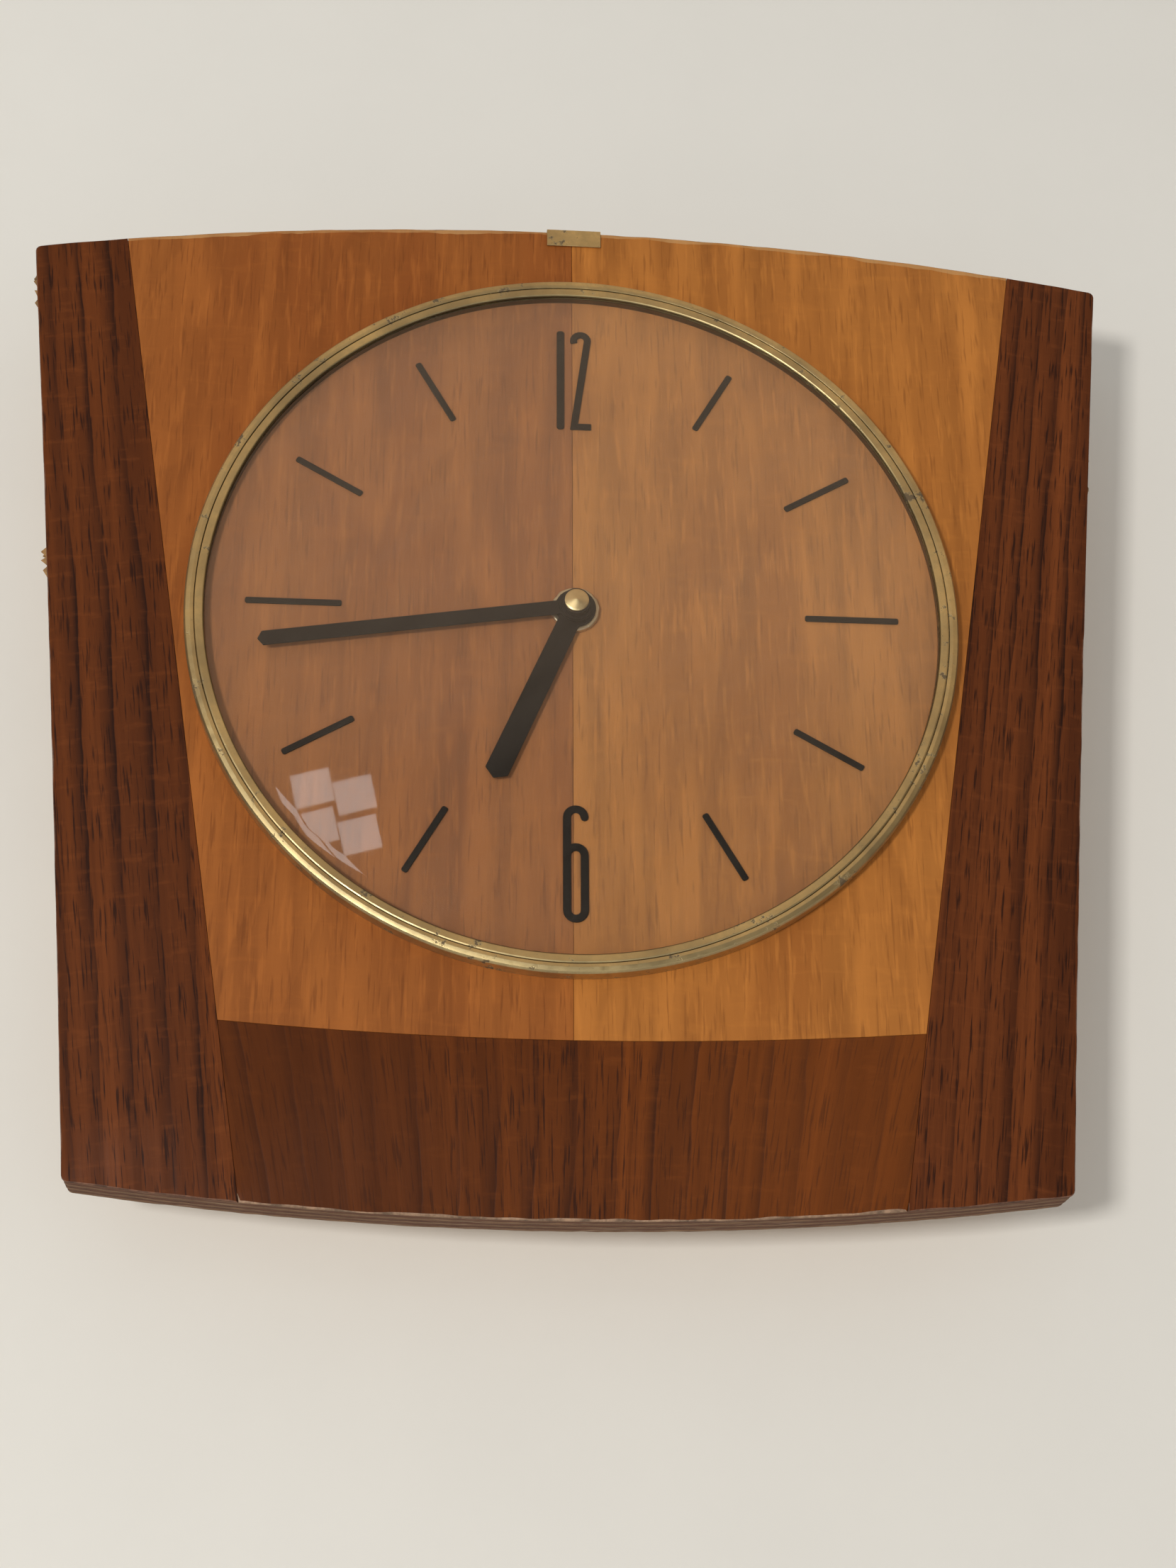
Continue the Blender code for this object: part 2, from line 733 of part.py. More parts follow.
def arbor_layers(parts, radius=ARBOR):
    """A shaft with a pivot in each plate, and its wheels and pinions as (outline, y, y)."""
    shaft = circle(radius, 10)
    pivot = circle(PIVOT, 8)
    inset = 0.1
    at, end_y = ARBOR_ENDS
    layers = [(pivot, FRONT_PLATE[0] + inset, at)]
    for outline, start, end in parts:
        layers.append((shaft, at, start))
        layers.append((outline, start, end))
        at = end
    layers.append((shaft, at, end_y))
    layers.append((pivot, end_y, BACK_PLATE[1] - inset))
    return layers


def make_motion_work():
    """Cannon pinion, minute wheel, hour wheel, and the setting knob that turns them by hand."""
    towards = direction((0.0, 0.0), MINUTE_WHEEL_AT)
    cannon = gear(CANNON_TEETH, MOTION_MODULE, towards)
    stack(
        "cannon_pinion",
        [(circle(CANNON_OUTER, 16), FACE - 3.05, CANNON_PINION[0]), (cannon, *CANNON_PINION)],
        "brass",
        holes=[circle(CANNON_INNER, 12)],
    )
    wheel_phase = meshed_phase(CANNON_TEETH, towards, towards, MINUTE_TEETH)
    wheel = gear(MINUTE_TEETH, MOTION_MODULE, wheel_phase)
    leaves = gear(MINUTE_PINION_TEETH, HOUR_MODULE, towards + math.pi)
    stack(
        "minute_wheel",
        [(leaves, HOUR_WHEEL[0] - 0.1, MINUTE_WHEEL[0]), (wheel, *MINUTE_WHEEL)],
        "brass",
        at=MINUTE_WHEEL_AT,
        holes=[circle(ARBOR + CLEARANCE, 10)],
    )
    hour_phase = meshed_phase(MINUTE_PINION_TEETH, towards + math.pi, towards + math.pi, HOUR_TEETH)
    stack(
        "hour_wheel",
        [
            (circle(PIPE_OUTER, 20), HOUR_HAND[0], HOUR_WHEEL[0]),
            (gear(HOUR_TEETH, HOUR_MODULE, hour_phase), *HOUR_WHEEL),
        ],
        "brass",
        holes=[circle(PIPE_INNER, 16)],
    )
    onward = direction(MINUTE_WHEEL_AT, SETTING_AT)
    setting_phase = meshed_phase(MINUTE_TEETH, wheel_phase, onward, SETTING_TEETH)
    flutes = []
    pitch = 18.0
    for k in range(20):
        radius = KNOB_RADIUS if k % 2 else KNOB_RADIUS - 0.4
        flutes += arc((0.0, 0.0), radius, pitch * k, pitch * (k + 0.6), 1)
    stack(
        "setting_knob",
        [
            (gear(SETTING_TEETH, MOTION_MODULE, setting_phase), *SETTING_PINION),
            (circle(KNOB_SHAFT, 12), SETTING_PINION[1], KNOB[0]),
            (flutes, *KNOB),
            (circle(KNOB_RADIUS - 1.3, 20), KNOB[1], KNOB_BUTTON),
        ],
        "brown_plastic",
        at=SETTING_AT,
    )


def make_train():
    """Centre wheel, third wheel and index wheel, each in mesh with the next."""
    towards = direction((0.0, 0.0), THIRD_AT)
    wheel = gear(CENTRE_TEETH, TRAIN_MODULE, towards)
    stack(
        "centre_wheel",
        [
            (circle(CENTRE_ARBOR, 12), CAP_TOP + 0.8, CENTRE_WHEEL[0]),
            (wheel, *CENTRE_WHEEL),
            (circle(CENTRE_ARBOR, 12), CENTRE_WHEEL[1], BACK_PLATE[0] - 0.2),
            (circle(PIVOT, 8), BACK_PLATE[0] - 0.2, BACK_PLATE[1] - 0.1),
        ],
        "brass",
    )
    pinion_phase = meshed_phase(CENTRE_TEETH, towards, towards, PINION_TEETH)
    pinion = gear(PINION_TEETH, TRAIN_MODULE, pinion_phase)
    onward = direction(THIRD_AT, INDEX_AT)
    wheel = gear(THIRD_TEETH, TRAIN_MODULE, onward)
    stack(
        "third_wheel",
        arbor_layers([(pinion, *THIRD_PINION), (wheel, *THIRD_WHEEL)]),
        "brass",
        at=THIRD_AT,
    )
    pinion_phase = meshed_phase(THIRD_TEETH, onward, onward, PINION_TEETH)
    pinion = gear(PINION_TEETH, TRAIN_MODULE, pinion_phase)
    saw = ratchet(INDEX_TEETH, INDEX_RADIUS, 0.45)
    stack(
        "index_wheel",
        arbor_layers([(saw, *INDEX_WHEEL), (pinion, *INDEX_PINION)]),
        "white_plastic",
        at=INDEX_AT,
    )


def make_lever():
    """A two-armed lever that points at the index wheel and at the roller on the balance staff."""
    to_index = direction(LEVER_AT, INDEX_AT)
    to_staff = direction(LEVER_AT, BALANCE_AT)
    index_arm = math.dist(LEVER_AT, INDEX_AT) - INDEX_RADIUS - 0.25
    staff_arm = math.dist(LEVER_AT, BALANCE_AT) - ROLLER - 0.35
    root = (1.6, 0.7)
    neck_half = 0.5
    points = []
    for angle, length in ((to_staff, staff_arm), (to_index, index_arm)):
        neck = length - 1.0
        upper = [(length, 0.0), (neck, neck_half), root]
        lower = [(root[0], -root[1]), (neck, -neck_half)]
        points += turn(lower + upper, math.degrees(angle))
    stack(
        "drive_lever",
        arbor_layers([(points, *LEVER)]),
        "steel",
        at=LEVER_AT,
    )


# ---- Balance, coil and circuit ----

def make_balance():
    """A staff with two pierced discs, a magnet inside each disc, and the hairspring."""
    stack(
        "balance_staff",
        arbor_layers([(circle(ROLLER, 16), *ROLLER_DEPTHS)], radius=STAFF),
        "steel",
        at=BALANCE_AT,
    )
    hole = circle(STAFF + CLEARANCE, 12)
    windows = []
    for middle in (0.0, 180.0):
        outer = arc((0.0, 0.0), 11.6, middle - 38.0, middle + 38.0, 6)
        inner = arc((0.0, 0.0), 4.2, middle + 38.0, middle - 38.0, 4)
        windows.append(outer + inner)
    for name, depths in (("balance_disc_front", FRONT_DISC), ("balance_disc_rear", REAR_DISC)):
        rim = circle(DISC_RADIUS, 32)
        stack(name, [(rim, *depths)], "brass", at=BALANCE_AT, holes=[hole, *windows])
    magnet = shift(circle(MAGNET_RADIUS, 16), (0.0, -MAGNET_REACH))
    front = FRONT_DISC[1] + GLUE
    rear = REAR_DISC[0] - GLUE
    stack("magnet_front", [(magnet, front, front + MAGNET_THICK)], "steel", at=BALANCE_AT)
    stack("magnet_rear", [(magnet, rear - MAGNET_THICK, rear)], "steel", at=BALANCE_AT)
    ribbon = spiral(SPRING_INNER, SPRING_OUTER, 3, 18, SPRING_RIBBON)
    stack("hairspring", [(ribbon, *HAIRSPRING)], "steel", at=BALANCE_AT)


def spiral(inner, outer, turns, per_turn, thickness):
    """The outline of a flat spiral ribbon."""
    count = turns * per_turn
    middle = []
    for i in range(count + 1):
        radius = inner + (outer - inner) * i / count
        a = 2 * math.pi * i / per_turn
        middle.append((radius * math.cos(a), radius * math.sin(a)))
    return stroke(middle, thickness)


def make_electrics():
    """A flat coil on an arm between the balance discs, and the board that carries it."""
    arm_end = -12.0
    start = math.degrees(math.asin(COIL_ARM_HALF / COIL_RADIUS))
    bobbin = arc((0.0, 0.0), COIL_RADIUS, -90.0 + start, 270.0 - start, 24)
    bobbin += [(-COIL_ARM_HALF, arm_end), (COIL_ARM_HALF, arm_end)]
    coil_at = (BALANCE_AT[0], BALANCE_AT[1] - MAGNET_REACH)
    stack("drive_coil", [(bobbin, *COIL)], "copper", at=coil_at, holes=[circle(1.8, 12)])
    board = rounded(box((-36.0, -12.0), (-13.6, 2.4)), 1.0, 2)
    stack("circuit_board", [(board, *BOARD)], "resin_board")
    can_radius = 3.0
    brim = 0.5
    can_back = BOARD[0] - GAP
    can_front = can_back - 6.3
    can = [
        (0.0, can_front),
        (can_radius - 0.4, can_front),
        (can_radius, can_front + 0.4),
        (can_radius, can_back - 0.7),
        (can_radius + brim, can_back - 0.7),
        (can_radius + brim, can_back),
        (0.0, can_back),
    ]
    turned("transistor", can, "steel", at=(-19.4, -6.6), steps=16)


# ---- Movement frame ----

def make_plates():
    """The two plates that hold the pivots, the minute wheel's stud, and three pillars."""
    outline = rounded(box(PLATE_LOW, PLATE_HIGH), 3.0, 3)
    pivot = PIVOT + CLEARANCE
    shared = [
        circle(pivot, 8, THIRD_AT),
        circle(pivot, 8, INDEX_AT),
        circle(pivot, 8, LEVER_AT),
        circle(pivot, 8, BALANCE_AT),
        circle(KNOB_SHAFT + CLEARANCE, 12, SETTING_AT),
    ]
    front_holes = [circle(CENTRE_ARBOR + CLEARANCE, 12), *shared]
    plate = stack("front_plate", [(outline, *FRONT_PLATE)], "brass", holes=front_holes)
    stud = stack(
        "minute_wheel_stud",
        [(circle(ARBOR, 10), HOUR_WHEEL[0] - 0.4, FRONT_PLATE[0] + 0.5)],
        "brass",
        at=MINUTE_WHEEL_AT,
    )
    add(plate, stud)
    stack("back_plate", [(outline, *BACK_PLATE)], "brass", holes=[circle(pivot, 8), *shared])
    pillar = circle(2.0, 12)
    for index, at in enumerate(PILLARS_AT, 1):
        depths = (FRONT_PLATE[1] + GLUE, BACK_PLATE[0] - GLUE)
        stack(f"pillar_{index}", [(pillar, *depths)], "brass", at=at)


def make_regulator():
    """A lever round the balance's rear bearing, with a tab that comes out through the cover."""
    half_arm = 1.3
    half_tab = 0.9
    start = math.degrees(math.asin(half_arm / REGULATOR_RING))
    points = arc((0.0, 0.0), REGULATOR_RING, 90.0 + start, 450.0 - start, 16)
    points += [(half_arm, REGULATOR_LENGTH), (-half_arm, REGULATOR_LENGTH)]
    tab = box((-half_tab, REGULATOR_TAB[0]), (half_tab, REGULATOR_TAB[1]))
    lever = stack(
        "regulator_lever",
        [(points, *REGULATOR)],
        "steel",
        at=BALANCE_AT,
        holes=[circle(REGULATOR_RING / 2, 12)],
    )
    tab_start = sum(REGULATOR) / 2
    handle = stack("regulator_tab", [(tab, tab_start, REGULATOR_TAB_END)], "steel", at=BALANCE_AT)
    add(lever, handle)


# ---- Case, cover, battery ----

def make_case():
    """A tray with a wide room for the movement and a narrower battery bay below it."""
    lower_half = max(-BAY_LEFT, BAY_RIGHT) + SIDE_WALL
    right = [
        (lower_half, CASE_BOTTOM),
        (lower_half, BAY_TOP),
        (CASE_HALF, BAY_TOP),
        (CASE_HALF, CASE_TOP),
    ]
    outline = right + mirrored(right)
    case = stack(
        "movement_case",
        [(rounded(outline, 1.8, 2), CASE_FRONT, 0.0)],
        "ivory_plastic",
        holes=[circle(BUSH_OUTER + 0.3, 24)],
    )
    inside_half = CASE_HALF - SIDE_WALL
    room_low = (-inside_half, SHELF_Z + SIDE_WALL / 2)
    room_high = (inside_half, CASE_TOP - SIDE_WALL)
    rooms = {
        "movement_room": box(room_low, room_high),
        "battery_room": box((BAY_LEFT, BAY_LOW), (BAY_RIGHT, BAY_TOP)),
    }
    for name, corners in rooms.items():
        room = stack(name, [(rounded(corners, 1.2, 2), CASE_INSIDE, 1.0)], "ivory_plastic")
        cut(case, room)
    for index, at in enumerate(PILLARS_AT, 1):
        boss = stack(
            f"case_boss_{index}",
            [(circle(3.0, 12), CASE_INSIDE - 0.5, FRONT_PLATE[0] - GLUE)],
            "ivory_plastic",
            at=at,
        )
        add(case, boss)


def make_cover():
    """The plate that closes the movement's room, with openings for the knob and the regulator."""
    inside_half = CASE_HALF - SIDE_WALL - GAP
    low = (-inside_half, SHELF_Z + SIDE_WALL / 2 + GAP)
    high = (inside_half, CASE_TOP - SIDE_WALL - GAP)
    knob_hole = circle(KNOB_RADIUS + 0.7, 24, SETTING_AT)
    swing = 28.0
    margin = 0.8
    far, near = REGULATOR_TAB[1] + margin, REGULATOR_TAB[0] - margin
    slot = arc((0.0, 0.0), far, 90.0 - swing, 90.0 + swing, 8)
    slot += arc((0.0, 0.0), near, 90.0 + swing, 90.0 - swing, 8)
    back = -COVER_RECESS
    stack(
        "rear_cover",
        [(rounded(box(low, high), 1.0, 2), back - COVER_THICK, back)],
        "brown_plastic",
        holes=[knob_hole, shift(slot, BALANCE_AT)],
    )


def make_door():
    """The battery door: its lower rear edge is the hinge."""
    low = (BAY_LEFT + DOOR_GAP, 0.0)
    high = (BAY_RIGHT - DOOR_GAP, BAY_TOP - DOOR_GAP - DOOR_HINGE_Z)
    centre_x = (BAY_LEFT + BAY_RIGHT) / 2
    outline = rounded(shift(box(low, high), (-centre_x, 0.0)), 0.8, 2)
    door = stack("battery_door", [(outline, -DOOR_THICK, 0.0)], "brown_plastic")
    door.location = (centre_x * MM, -DOOR_RECESS * MM, (DIAL_Z + DOOR_HINGE_Z) * MM)


def make_battery():
    """The cell, lying with its cap to the right, and the plate that the cap touches."""
    radius = BATTERY_RADIUS
    shoulder = 1.2
    bead = 0.8
    cap = 3.4
    profile = [
        (0.0, 0.0),
        (radius - shoulder, 0.0),
        (radius, bead),
        (radius, BATTERY_BODY - bead),
        (radius - shoulder, BATTERY_BODY),
        (cap, BATTERY_BODY),
        (cap - 0.4, BATTERY_LENGTH),
        (0.0, BATTERY_LENGTH),
    ]
    at = (BATTERY_LEFT, BATTERY_Z)
    battery = turned("battery", profile, "battery_wrap", at, BATTERY_Y, steps=28)
    battery.rotation_euler = (0.0, 0.0, -math.pi / 2)

    plate = rounded(box((-CONTACT_HALF, -CONTACT_HALF), (CONTACT_HALF, CONTACT_HALF)), 1.0, 2)
    contact = stack("contact_plate", [(plate, 0.0, CONTACT_THICK)], "steel")
    contact.rotation_euler = (0.0, 0.0, -math.pi / 2)
    left_face = BATTERY_LEFT + BATTERY_LENGTH + GAP
    contact.location = (left_face * MM, BATTERY_Y * MM, (DIAL_Z + BATTERY_Z) * MM)


def make_contact_spring():
    """A conical wire spring, wide at the bay's end and narrow against the battery."""
    start = BAY_LEFT + SPRING_WIRE + GAP
    end = BATTERY_LEFT - SPRING_WIRE - GAP
    turns = 3
    per_turn = 14
    curve = bpy.data.curves.new("contact_spring", "CURVE")
    curve.dimensions = "3D"
    curve.bevel_depth = SPRING_WIRE * MM
    curve.bevel_resolution = 1
    curve.use_fill_caps = True
    line = curve.splines.new("POLY")
    count = turns * per_turn + 1
    line.points.add(count - 1)
    for i in range(count):
        t = i / (count - 1)
        radius = SPRING_WIDE + (SPRING_NARROW - SPRING_WIDE) * t
        a = 2 * math.pi * i / per_turn
        point = (start + (end - start) * t, radius * math.cos(a), radius * math.sin(a))
        line.points[i].co = (*[value * MM for value in point], 1.0)
    curve.materials.append(finish_of("steel"))
    made = bpy.data.objects.new("contact_spring", curve)
    made.location = (0.0, BATTERY_Y * MM, (DIAL_Z + BATTERY_Z) * MM)
    bpy.context.collection.objects.link(made)


# ---- Hanger and clip ----

def make_hanger():
    """A Z-shaped strap: a leg screwed to the panel, an arm out to the wall, and a keyhole leg."""
    near = PANEL_BACK + GLUE
    arm = HOOK_Z + STRAP_ARM
    top = arm + STRAP_UPPER_LEG
    low = HOOK_Z - STRAP_LOWER_LEG
    outline = [
        (near, top),
        (near, arm - STRAP),
        (-STRAP, arm - STRAP),
        (-STRAP, low),
        (0.0, low),
        (0.0, arm),
        (near + STRAP, arm),
        (near + STRAP, top),
    ]
    strap = folded("hanger_strap", outline, STRAP_HALF, "steel")
    keyhole = arc((0.0, -KEYHOLE_DROP), KEYHOLE_RADIUS, 120.0, 420.0, 20)
    keyhole += arc((0.0, -SLOT_HALF), SLOT_HALF, 0.0, 180.0, 8)
    tool = stack("keyhole", [(keyhole, -STRAP - 2.0, 2.0)], "steel", at=(0.0, HOOK_Z))
    cut(strap, tool)
    head_front = near + STRAP + GLUE
    for side, x in (("left", -SCREW_X), ("right", SCREW_X)):
        hole = stack(
            f"strap_hole_{side}",
            [(circle(SCREW_SHANK + 0.3, 12), near - 2.0, near + STRAP + 2.0)],
            "steel",
            at=(x, SCREW_Z),
        )
        cut(strap, hole)
        screw = stack(
            f"hanger_screw_{side}",
            [
                (circle(SCREW_SHANK, 12), SCREW_TIP, head_front),
                (circle(SCREW_HEAD, 16), head_front, head_front + 1.2),
                (circle(SCREW_HEAD - 0.7, 16), head_front + 1.2, head_front + 1.8),
            ],
            "steel",
            at=(x, SCREW_Z),
        )
        driver = stack(
            f"driver_slot_{side}",
            [(box((-4.0, -0.4), (4.0, 0.4)), head_front + 1.1, head_front + 3.0)],
            "steel",
            at=(x, SCREW_Z),
        )
        cut(screw, driver)


def make_clip():
    """A brass strip folded over the middle of the panel's top edge."""
    front = FACE - GLUE
    back = PANEL_BACK + GLUE
    top = TOP_APEX + GLUE
    low_front = top - CLIP_LIP
    low_back = TOP_APEX - 8.0
    t = CLIP_METAL
    outline = [
        (front, low_front),
        (front - t, low_front),
        (front - t, top + t * 0.5),
        (front - t * 0.5, top + t),
        (back + t * 0.5, top + t),
        (back + t, top + t * 0.5),
        (back + t, low_back),
        (back, low_back),
        (back, top),
        (front, top),
    ]
    folded("top_clip", outline, CLIP_WIDTH / 2, "aged_brass")


for old in list(bpy.data.objects):
    bpy.data.objects.remove(old, do_unlink=True)

make_core()
make_veneers()
make_marks()
make_numerals()
make_bezel()
make_glass()
make_bush()
make_hands()
make_motion_work()
make_train()
make_lever()
make_balance()
make_electrics()
make_plates()
make_regulator()
make_case()
make_cover()
make_door()
make_battery()
make_contact_spring()
make_hanger()
make_clip()
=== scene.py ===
import math
import random

import bmesh
import bpy
from mathutils import Matrix, Vector, noise


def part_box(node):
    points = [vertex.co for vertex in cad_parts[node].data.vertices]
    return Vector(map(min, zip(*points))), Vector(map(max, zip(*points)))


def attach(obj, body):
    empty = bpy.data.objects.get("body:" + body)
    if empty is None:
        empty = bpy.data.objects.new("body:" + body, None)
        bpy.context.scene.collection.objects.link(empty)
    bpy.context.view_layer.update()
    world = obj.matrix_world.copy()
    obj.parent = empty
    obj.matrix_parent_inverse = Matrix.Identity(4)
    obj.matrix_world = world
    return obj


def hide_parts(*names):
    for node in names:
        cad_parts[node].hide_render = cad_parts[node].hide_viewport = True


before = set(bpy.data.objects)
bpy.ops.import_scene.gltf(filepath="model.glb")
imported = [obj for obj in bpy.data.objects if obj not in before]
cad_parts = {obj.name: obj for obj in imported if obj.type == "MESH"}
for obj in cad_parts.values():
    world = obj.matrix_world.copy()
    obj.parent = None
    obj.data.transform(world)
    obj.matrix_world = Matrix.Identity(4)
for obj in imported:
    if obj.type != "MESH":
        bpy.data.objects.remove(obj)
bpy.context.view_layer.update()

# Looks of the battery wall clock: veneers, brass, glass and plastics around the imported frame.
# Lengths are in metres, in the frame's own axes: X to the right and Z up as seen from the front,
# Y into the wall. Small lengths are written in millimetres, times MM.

MM = 0.001
TAU = 2 * math.pi
ORIGIN = Vector((0.0, 0.0, 0.0))

BODY = "clock_body"


# ---- What the frame says ----

def middle(node):
    low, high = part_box(node)
    return (Vector(low) + Vector(high)) / 2


def low_of(node):
    return Vector(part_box(node)[0])


def high_of(node):
    return Vector(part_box(node)[1])


CENTRE = middle("dial_nut")
HANDS = Vector((CENTRE.x, 0.0, CENTRE.z))
FACE_Y = low_of("veneer_light_left").y
PANEL_BACK_Y = high_of("panel_core").y
PANEL_HIGH = high_of("panel_core")
BEZEL_OUTER = high_of("bezel_ring").x - CENTRE.x
BEZEL_FRONT_Y = low_of("bezel_ring").y
BEZEL_INNER = 96.4 * MM
GLASS_OUTER = high_of("glass_dome").x - CENTRE.x
GLASS_FRONT_Y = low_of("glass_dome").y


# ---- Shader graphs ----

class Graph:
    """A material whose nodes are added one call at a time."""

    def __init__(self, name, **values):
        self.material = bpy.data.materials.new(name)
        self.material.use_nodes = True
        self.tree = self.material.node_tree
        self.shader = self.tree.nodes["Principled BSDF"]
        self.output = self.tree.nodes["Material Output"]
        self.place = self.add("TexCoord").outputs["Object"]
        self.set(**values)

    def set(self, **values):
        for key, value in values.items():
            self.feed(self.shader.inputs[key.replace("_", " ")], value)

    def feed(self, socket, value):
        if isinstance(value, bpy.types.NodeSocket):
            self.tree.links.new(value, socket)
        elif isinstance(value, tuple) and len(value) == 3 and socket.type == "RGBA":
            socket.default_value = (*value, 1.0)
        else:
            socket.default_value = value

    def add(self, kind, inputs=None, **settings):
        made = self.tree.nodes.new("ShaderNode" + kind)
        for key, value in settings.items():
            setattr(made, key, value)
        for key, value in (inputs or {}).items():
            self.feed(made.inputs[key], value)
        return made

    def math(self, operation, first, second=0.0):
        return self.add("Math", {0: first, 1: second}, operation=operation).outputs[0]

    def times(self, first, second):
        return self.math("MULTIPLY", first, second)

    def parts(self, vector=None):
        made = self.add("SeparateXYZ", {0: vector or self.place})
        return made.outputs

    def vector(self, x, y, z):
        return self.add("CombineXYZ", {0: x, 1: y, 2: z}).outputs[0]

    def scaled(self, *scale, turn=0.0, shift=(0.0, 0.0, 0.0)):
        """The place, turned about Y, scaled by one number or by one for each axis, and moved."""
        source = self.place
        if turn:
            source = self.add("Mapping", {"Vector": source, "Rotation": (0.0, turn, 0.0)}).outputs[0]
        each = scale if len(scale) == 3 else scale * 3
        return self.add("Mapping", {"Vector": source, "Scale": each, "Location": shift}).outputs[0]

    def noise(self, vector, detail=3.0, roughness=0.55, distortion=0.0):
        """Noise from 0 to 1 whose lumps are about one unit of the vector across."""
        values = {
            "Vector": vector,
            "Scale": 1.0,
            "Detail": detail,
            "Roughness": roughness,
            "Distortion": distortion,
        }
        return self.add("TexNoise", values).outputs["Fac"]

    def spread(self, value, low, high, to_low=0.0, to_high=1.0, smooth=False):
        """The value's share of the way from low to high, clamped."""
        made = self.add("MapRange", {0: value, 1: low, 2: high, 3: to_low, 4: to_high})
        made.interpolation_type = "SMOOTHSTEP" if smooth else "LINEAR"
        return made.outputs[0]

    def mix(self, share, first, second):
        """From the first colour at 0 to the second at 1."""
        made = self.add("Mix", data_type="RGBA", clamp_factor=True)
        self.feed(made.inputs["Factor"], share)
        self.feed(made.inputs[6], first)
        self.feed(made.inputs[7], second)
        return made.outputs[2]

    def either(self, share, first, second):
        """Makes the surface the first shader at 0 and the second at 1."""
        made = self.add("MixShader", {0: share})
        self.feed(made.inputs[1], first)
        self.feed(made.inputs[2], second)
        self.feed(self.output.inputs["Surface"], made.outputs[0])
        return made.outputs[0]

    def bump(self, height, depth, strength=1.0):
        """Bumps of this depth in metres, where height goes from 0 to 1."""
        made = self.add("Bump", {"Height": height, "Distance": depth, "Strength": strength})
        if self.shader.inputs["Normal"].is_linked:
            before = self.shader.inputs["Normal"].links[0].from_socket
            self.feed(made.inputs["Normal"], before)
        self.feed(self.shader.inputs["Normal"], made.outputs[0])


# ---- Materials ----

def toned(colour, factor):
    return tuple(value * factor for value in colour)


# Pale grey mixed into the veneer inside the bezel: a painted reflection of the room in the glass.
PAINTED_REFLECTION_WASH = (0.62, 0.63, 0.50)
RUBBED = (0.56, 0.31, 0.12)
TOP_CURVE = 0.56      # how far the panel's top edge falls, over the square of the way from its middle


def light_veneer(name, base, warm, offset):
    """Plain, satin varnished veneer: soft figure, faint growth arcs and short flecks up the grain, with a
    painted reflection wash inside the bezel.
    """
    graph = Graph(name)
    x, _, z = graph.parts(graph.scaled(1.0, shift=offset))

    def grain(across, along, detail=2.0, roughness=0.55, distortion=0.0):
        place = graph.vector(graph.times(x, across), 0.0, graph.times(z, along))
        return graph.noise(place, detail=detail, roughness=roughness, distortion=distortion)

    figure = grain(24.0, 8.0, distortion=0.8)
    waves = grain(115.0, 13.0, detail=1.0, distortion=0.5)
    streaks = grain(190.0, 7.0, detail=3.0)
    pale_dashes = grain(620.0, 62.0)
    dark_dashes = grain(1150.0, 75.0)
    crinkle = grain(70.0, 260.0, detail=3.0, roughness=0.6, distortion=1.0)
    arcs = graph.math("FRACT", graph.times(grain(8.0, 2.6, detail=1.0), 13.0))
    rise, drop = graph.spread(arcs, 0.72, 0.97, smooth=True), graph.spread(arcs, 1.0, 0.97)
    arc_line = graph.times(rise, drop)

    dark = toned(base, 0.68)
    pale = toned(warm, 1.30)
    colour = graph.mix(graph.spread(figure, 0.32, 0.68), base, warm)
    colour = graph.mix(graph.spread(streaks, 0.42, 0.70, 0.0, 0.46), colour, dark)
    colour = graph.mix(graph.times(arc_line, 0.24), colour, dark)
    colour = graph.mix(graph.spread(waves, 0.46, 0.74, 0.0, 0.55, smooth=True), colour, pale)
    colour = graph.mix(graph.spread(crinkle, 0.52, 0.78, 0.0, 0.22), colour, pale)
    colour = graph.mix(graph.spread(pale_dashes, 0.54, 0.68, 0.0, 0.42), colour, pale)
    colour = graph.mix(graph.spread(dark_dashes, 0.56, 0.68, 0.0, 0.60), colour, dark)

    # Painted reflection: the veneer inside the bezel is washed 6% towards pale grey.
    colour = graph.mix(painted_reflection_wash(graph), colour, PAINTED_REFLECTION_WASH)
    colour = graph.mix(worn_edge(graph), colour, RUBBED)
    graph.set(Base_Color=colour, Specular_IOR_Level=0.18)
    graph.set(Roughness=graph.spread(crinkle, 0.2, 0.8, 0.50, 0.64))
    graph.bump(dark_dashes, -0.02 * MM)
    graph.bump(crinkle, 0.04 * MM, 0.5)
    return graph.material


def from_axis(graph, centre=HANDS):
    """Distance from an axis along Y."""
    away = graph.add("VectorMath", {0: graph.place, 1: tuple(centre)}, operation="SUBTRACT").outputs[0]
    x, _, z = graph.parts(away)
    squares = graph.math("ADD", graph.times(x, x), graph.times(z, z))
    return graph.math("SQRT", squares)


def painted_reflection_wash(graph):
    """Painted reflection: how much the veneer inside the bezel is mixed towards a pale grey, standing in for
    the glass's reflection of the room.
    """
    inside = graph.math("LESS_THAN", from_axis(graph), GLASS_OUTER)
    return graph.times(inside, 0.06)


def worn_edge(graph):
    """A pale rubbed band that follows the panel's curved top edge, 1 to 2 mm wide."""
    x, _, z = graph.parts()
    fall = graph.times(graph.times(x, x), TOP_CURVE)
    gap = graph.math("SUBTRACT", PANEL_HIGH.z, graph.math("ADD", z, fall))
    patchy = graph.noise(graph.scaled(70.0), detail=3.0)
    width = graph.spread(patchy, 0.35, 0.75, 0.7 * MM, 1.9 * MM)
    near = graph.math("LESS_THAN", gap, width)
    return graph.times(near, graph.spread(patchy, 0.30, 0.60, 0.2, 0.65))


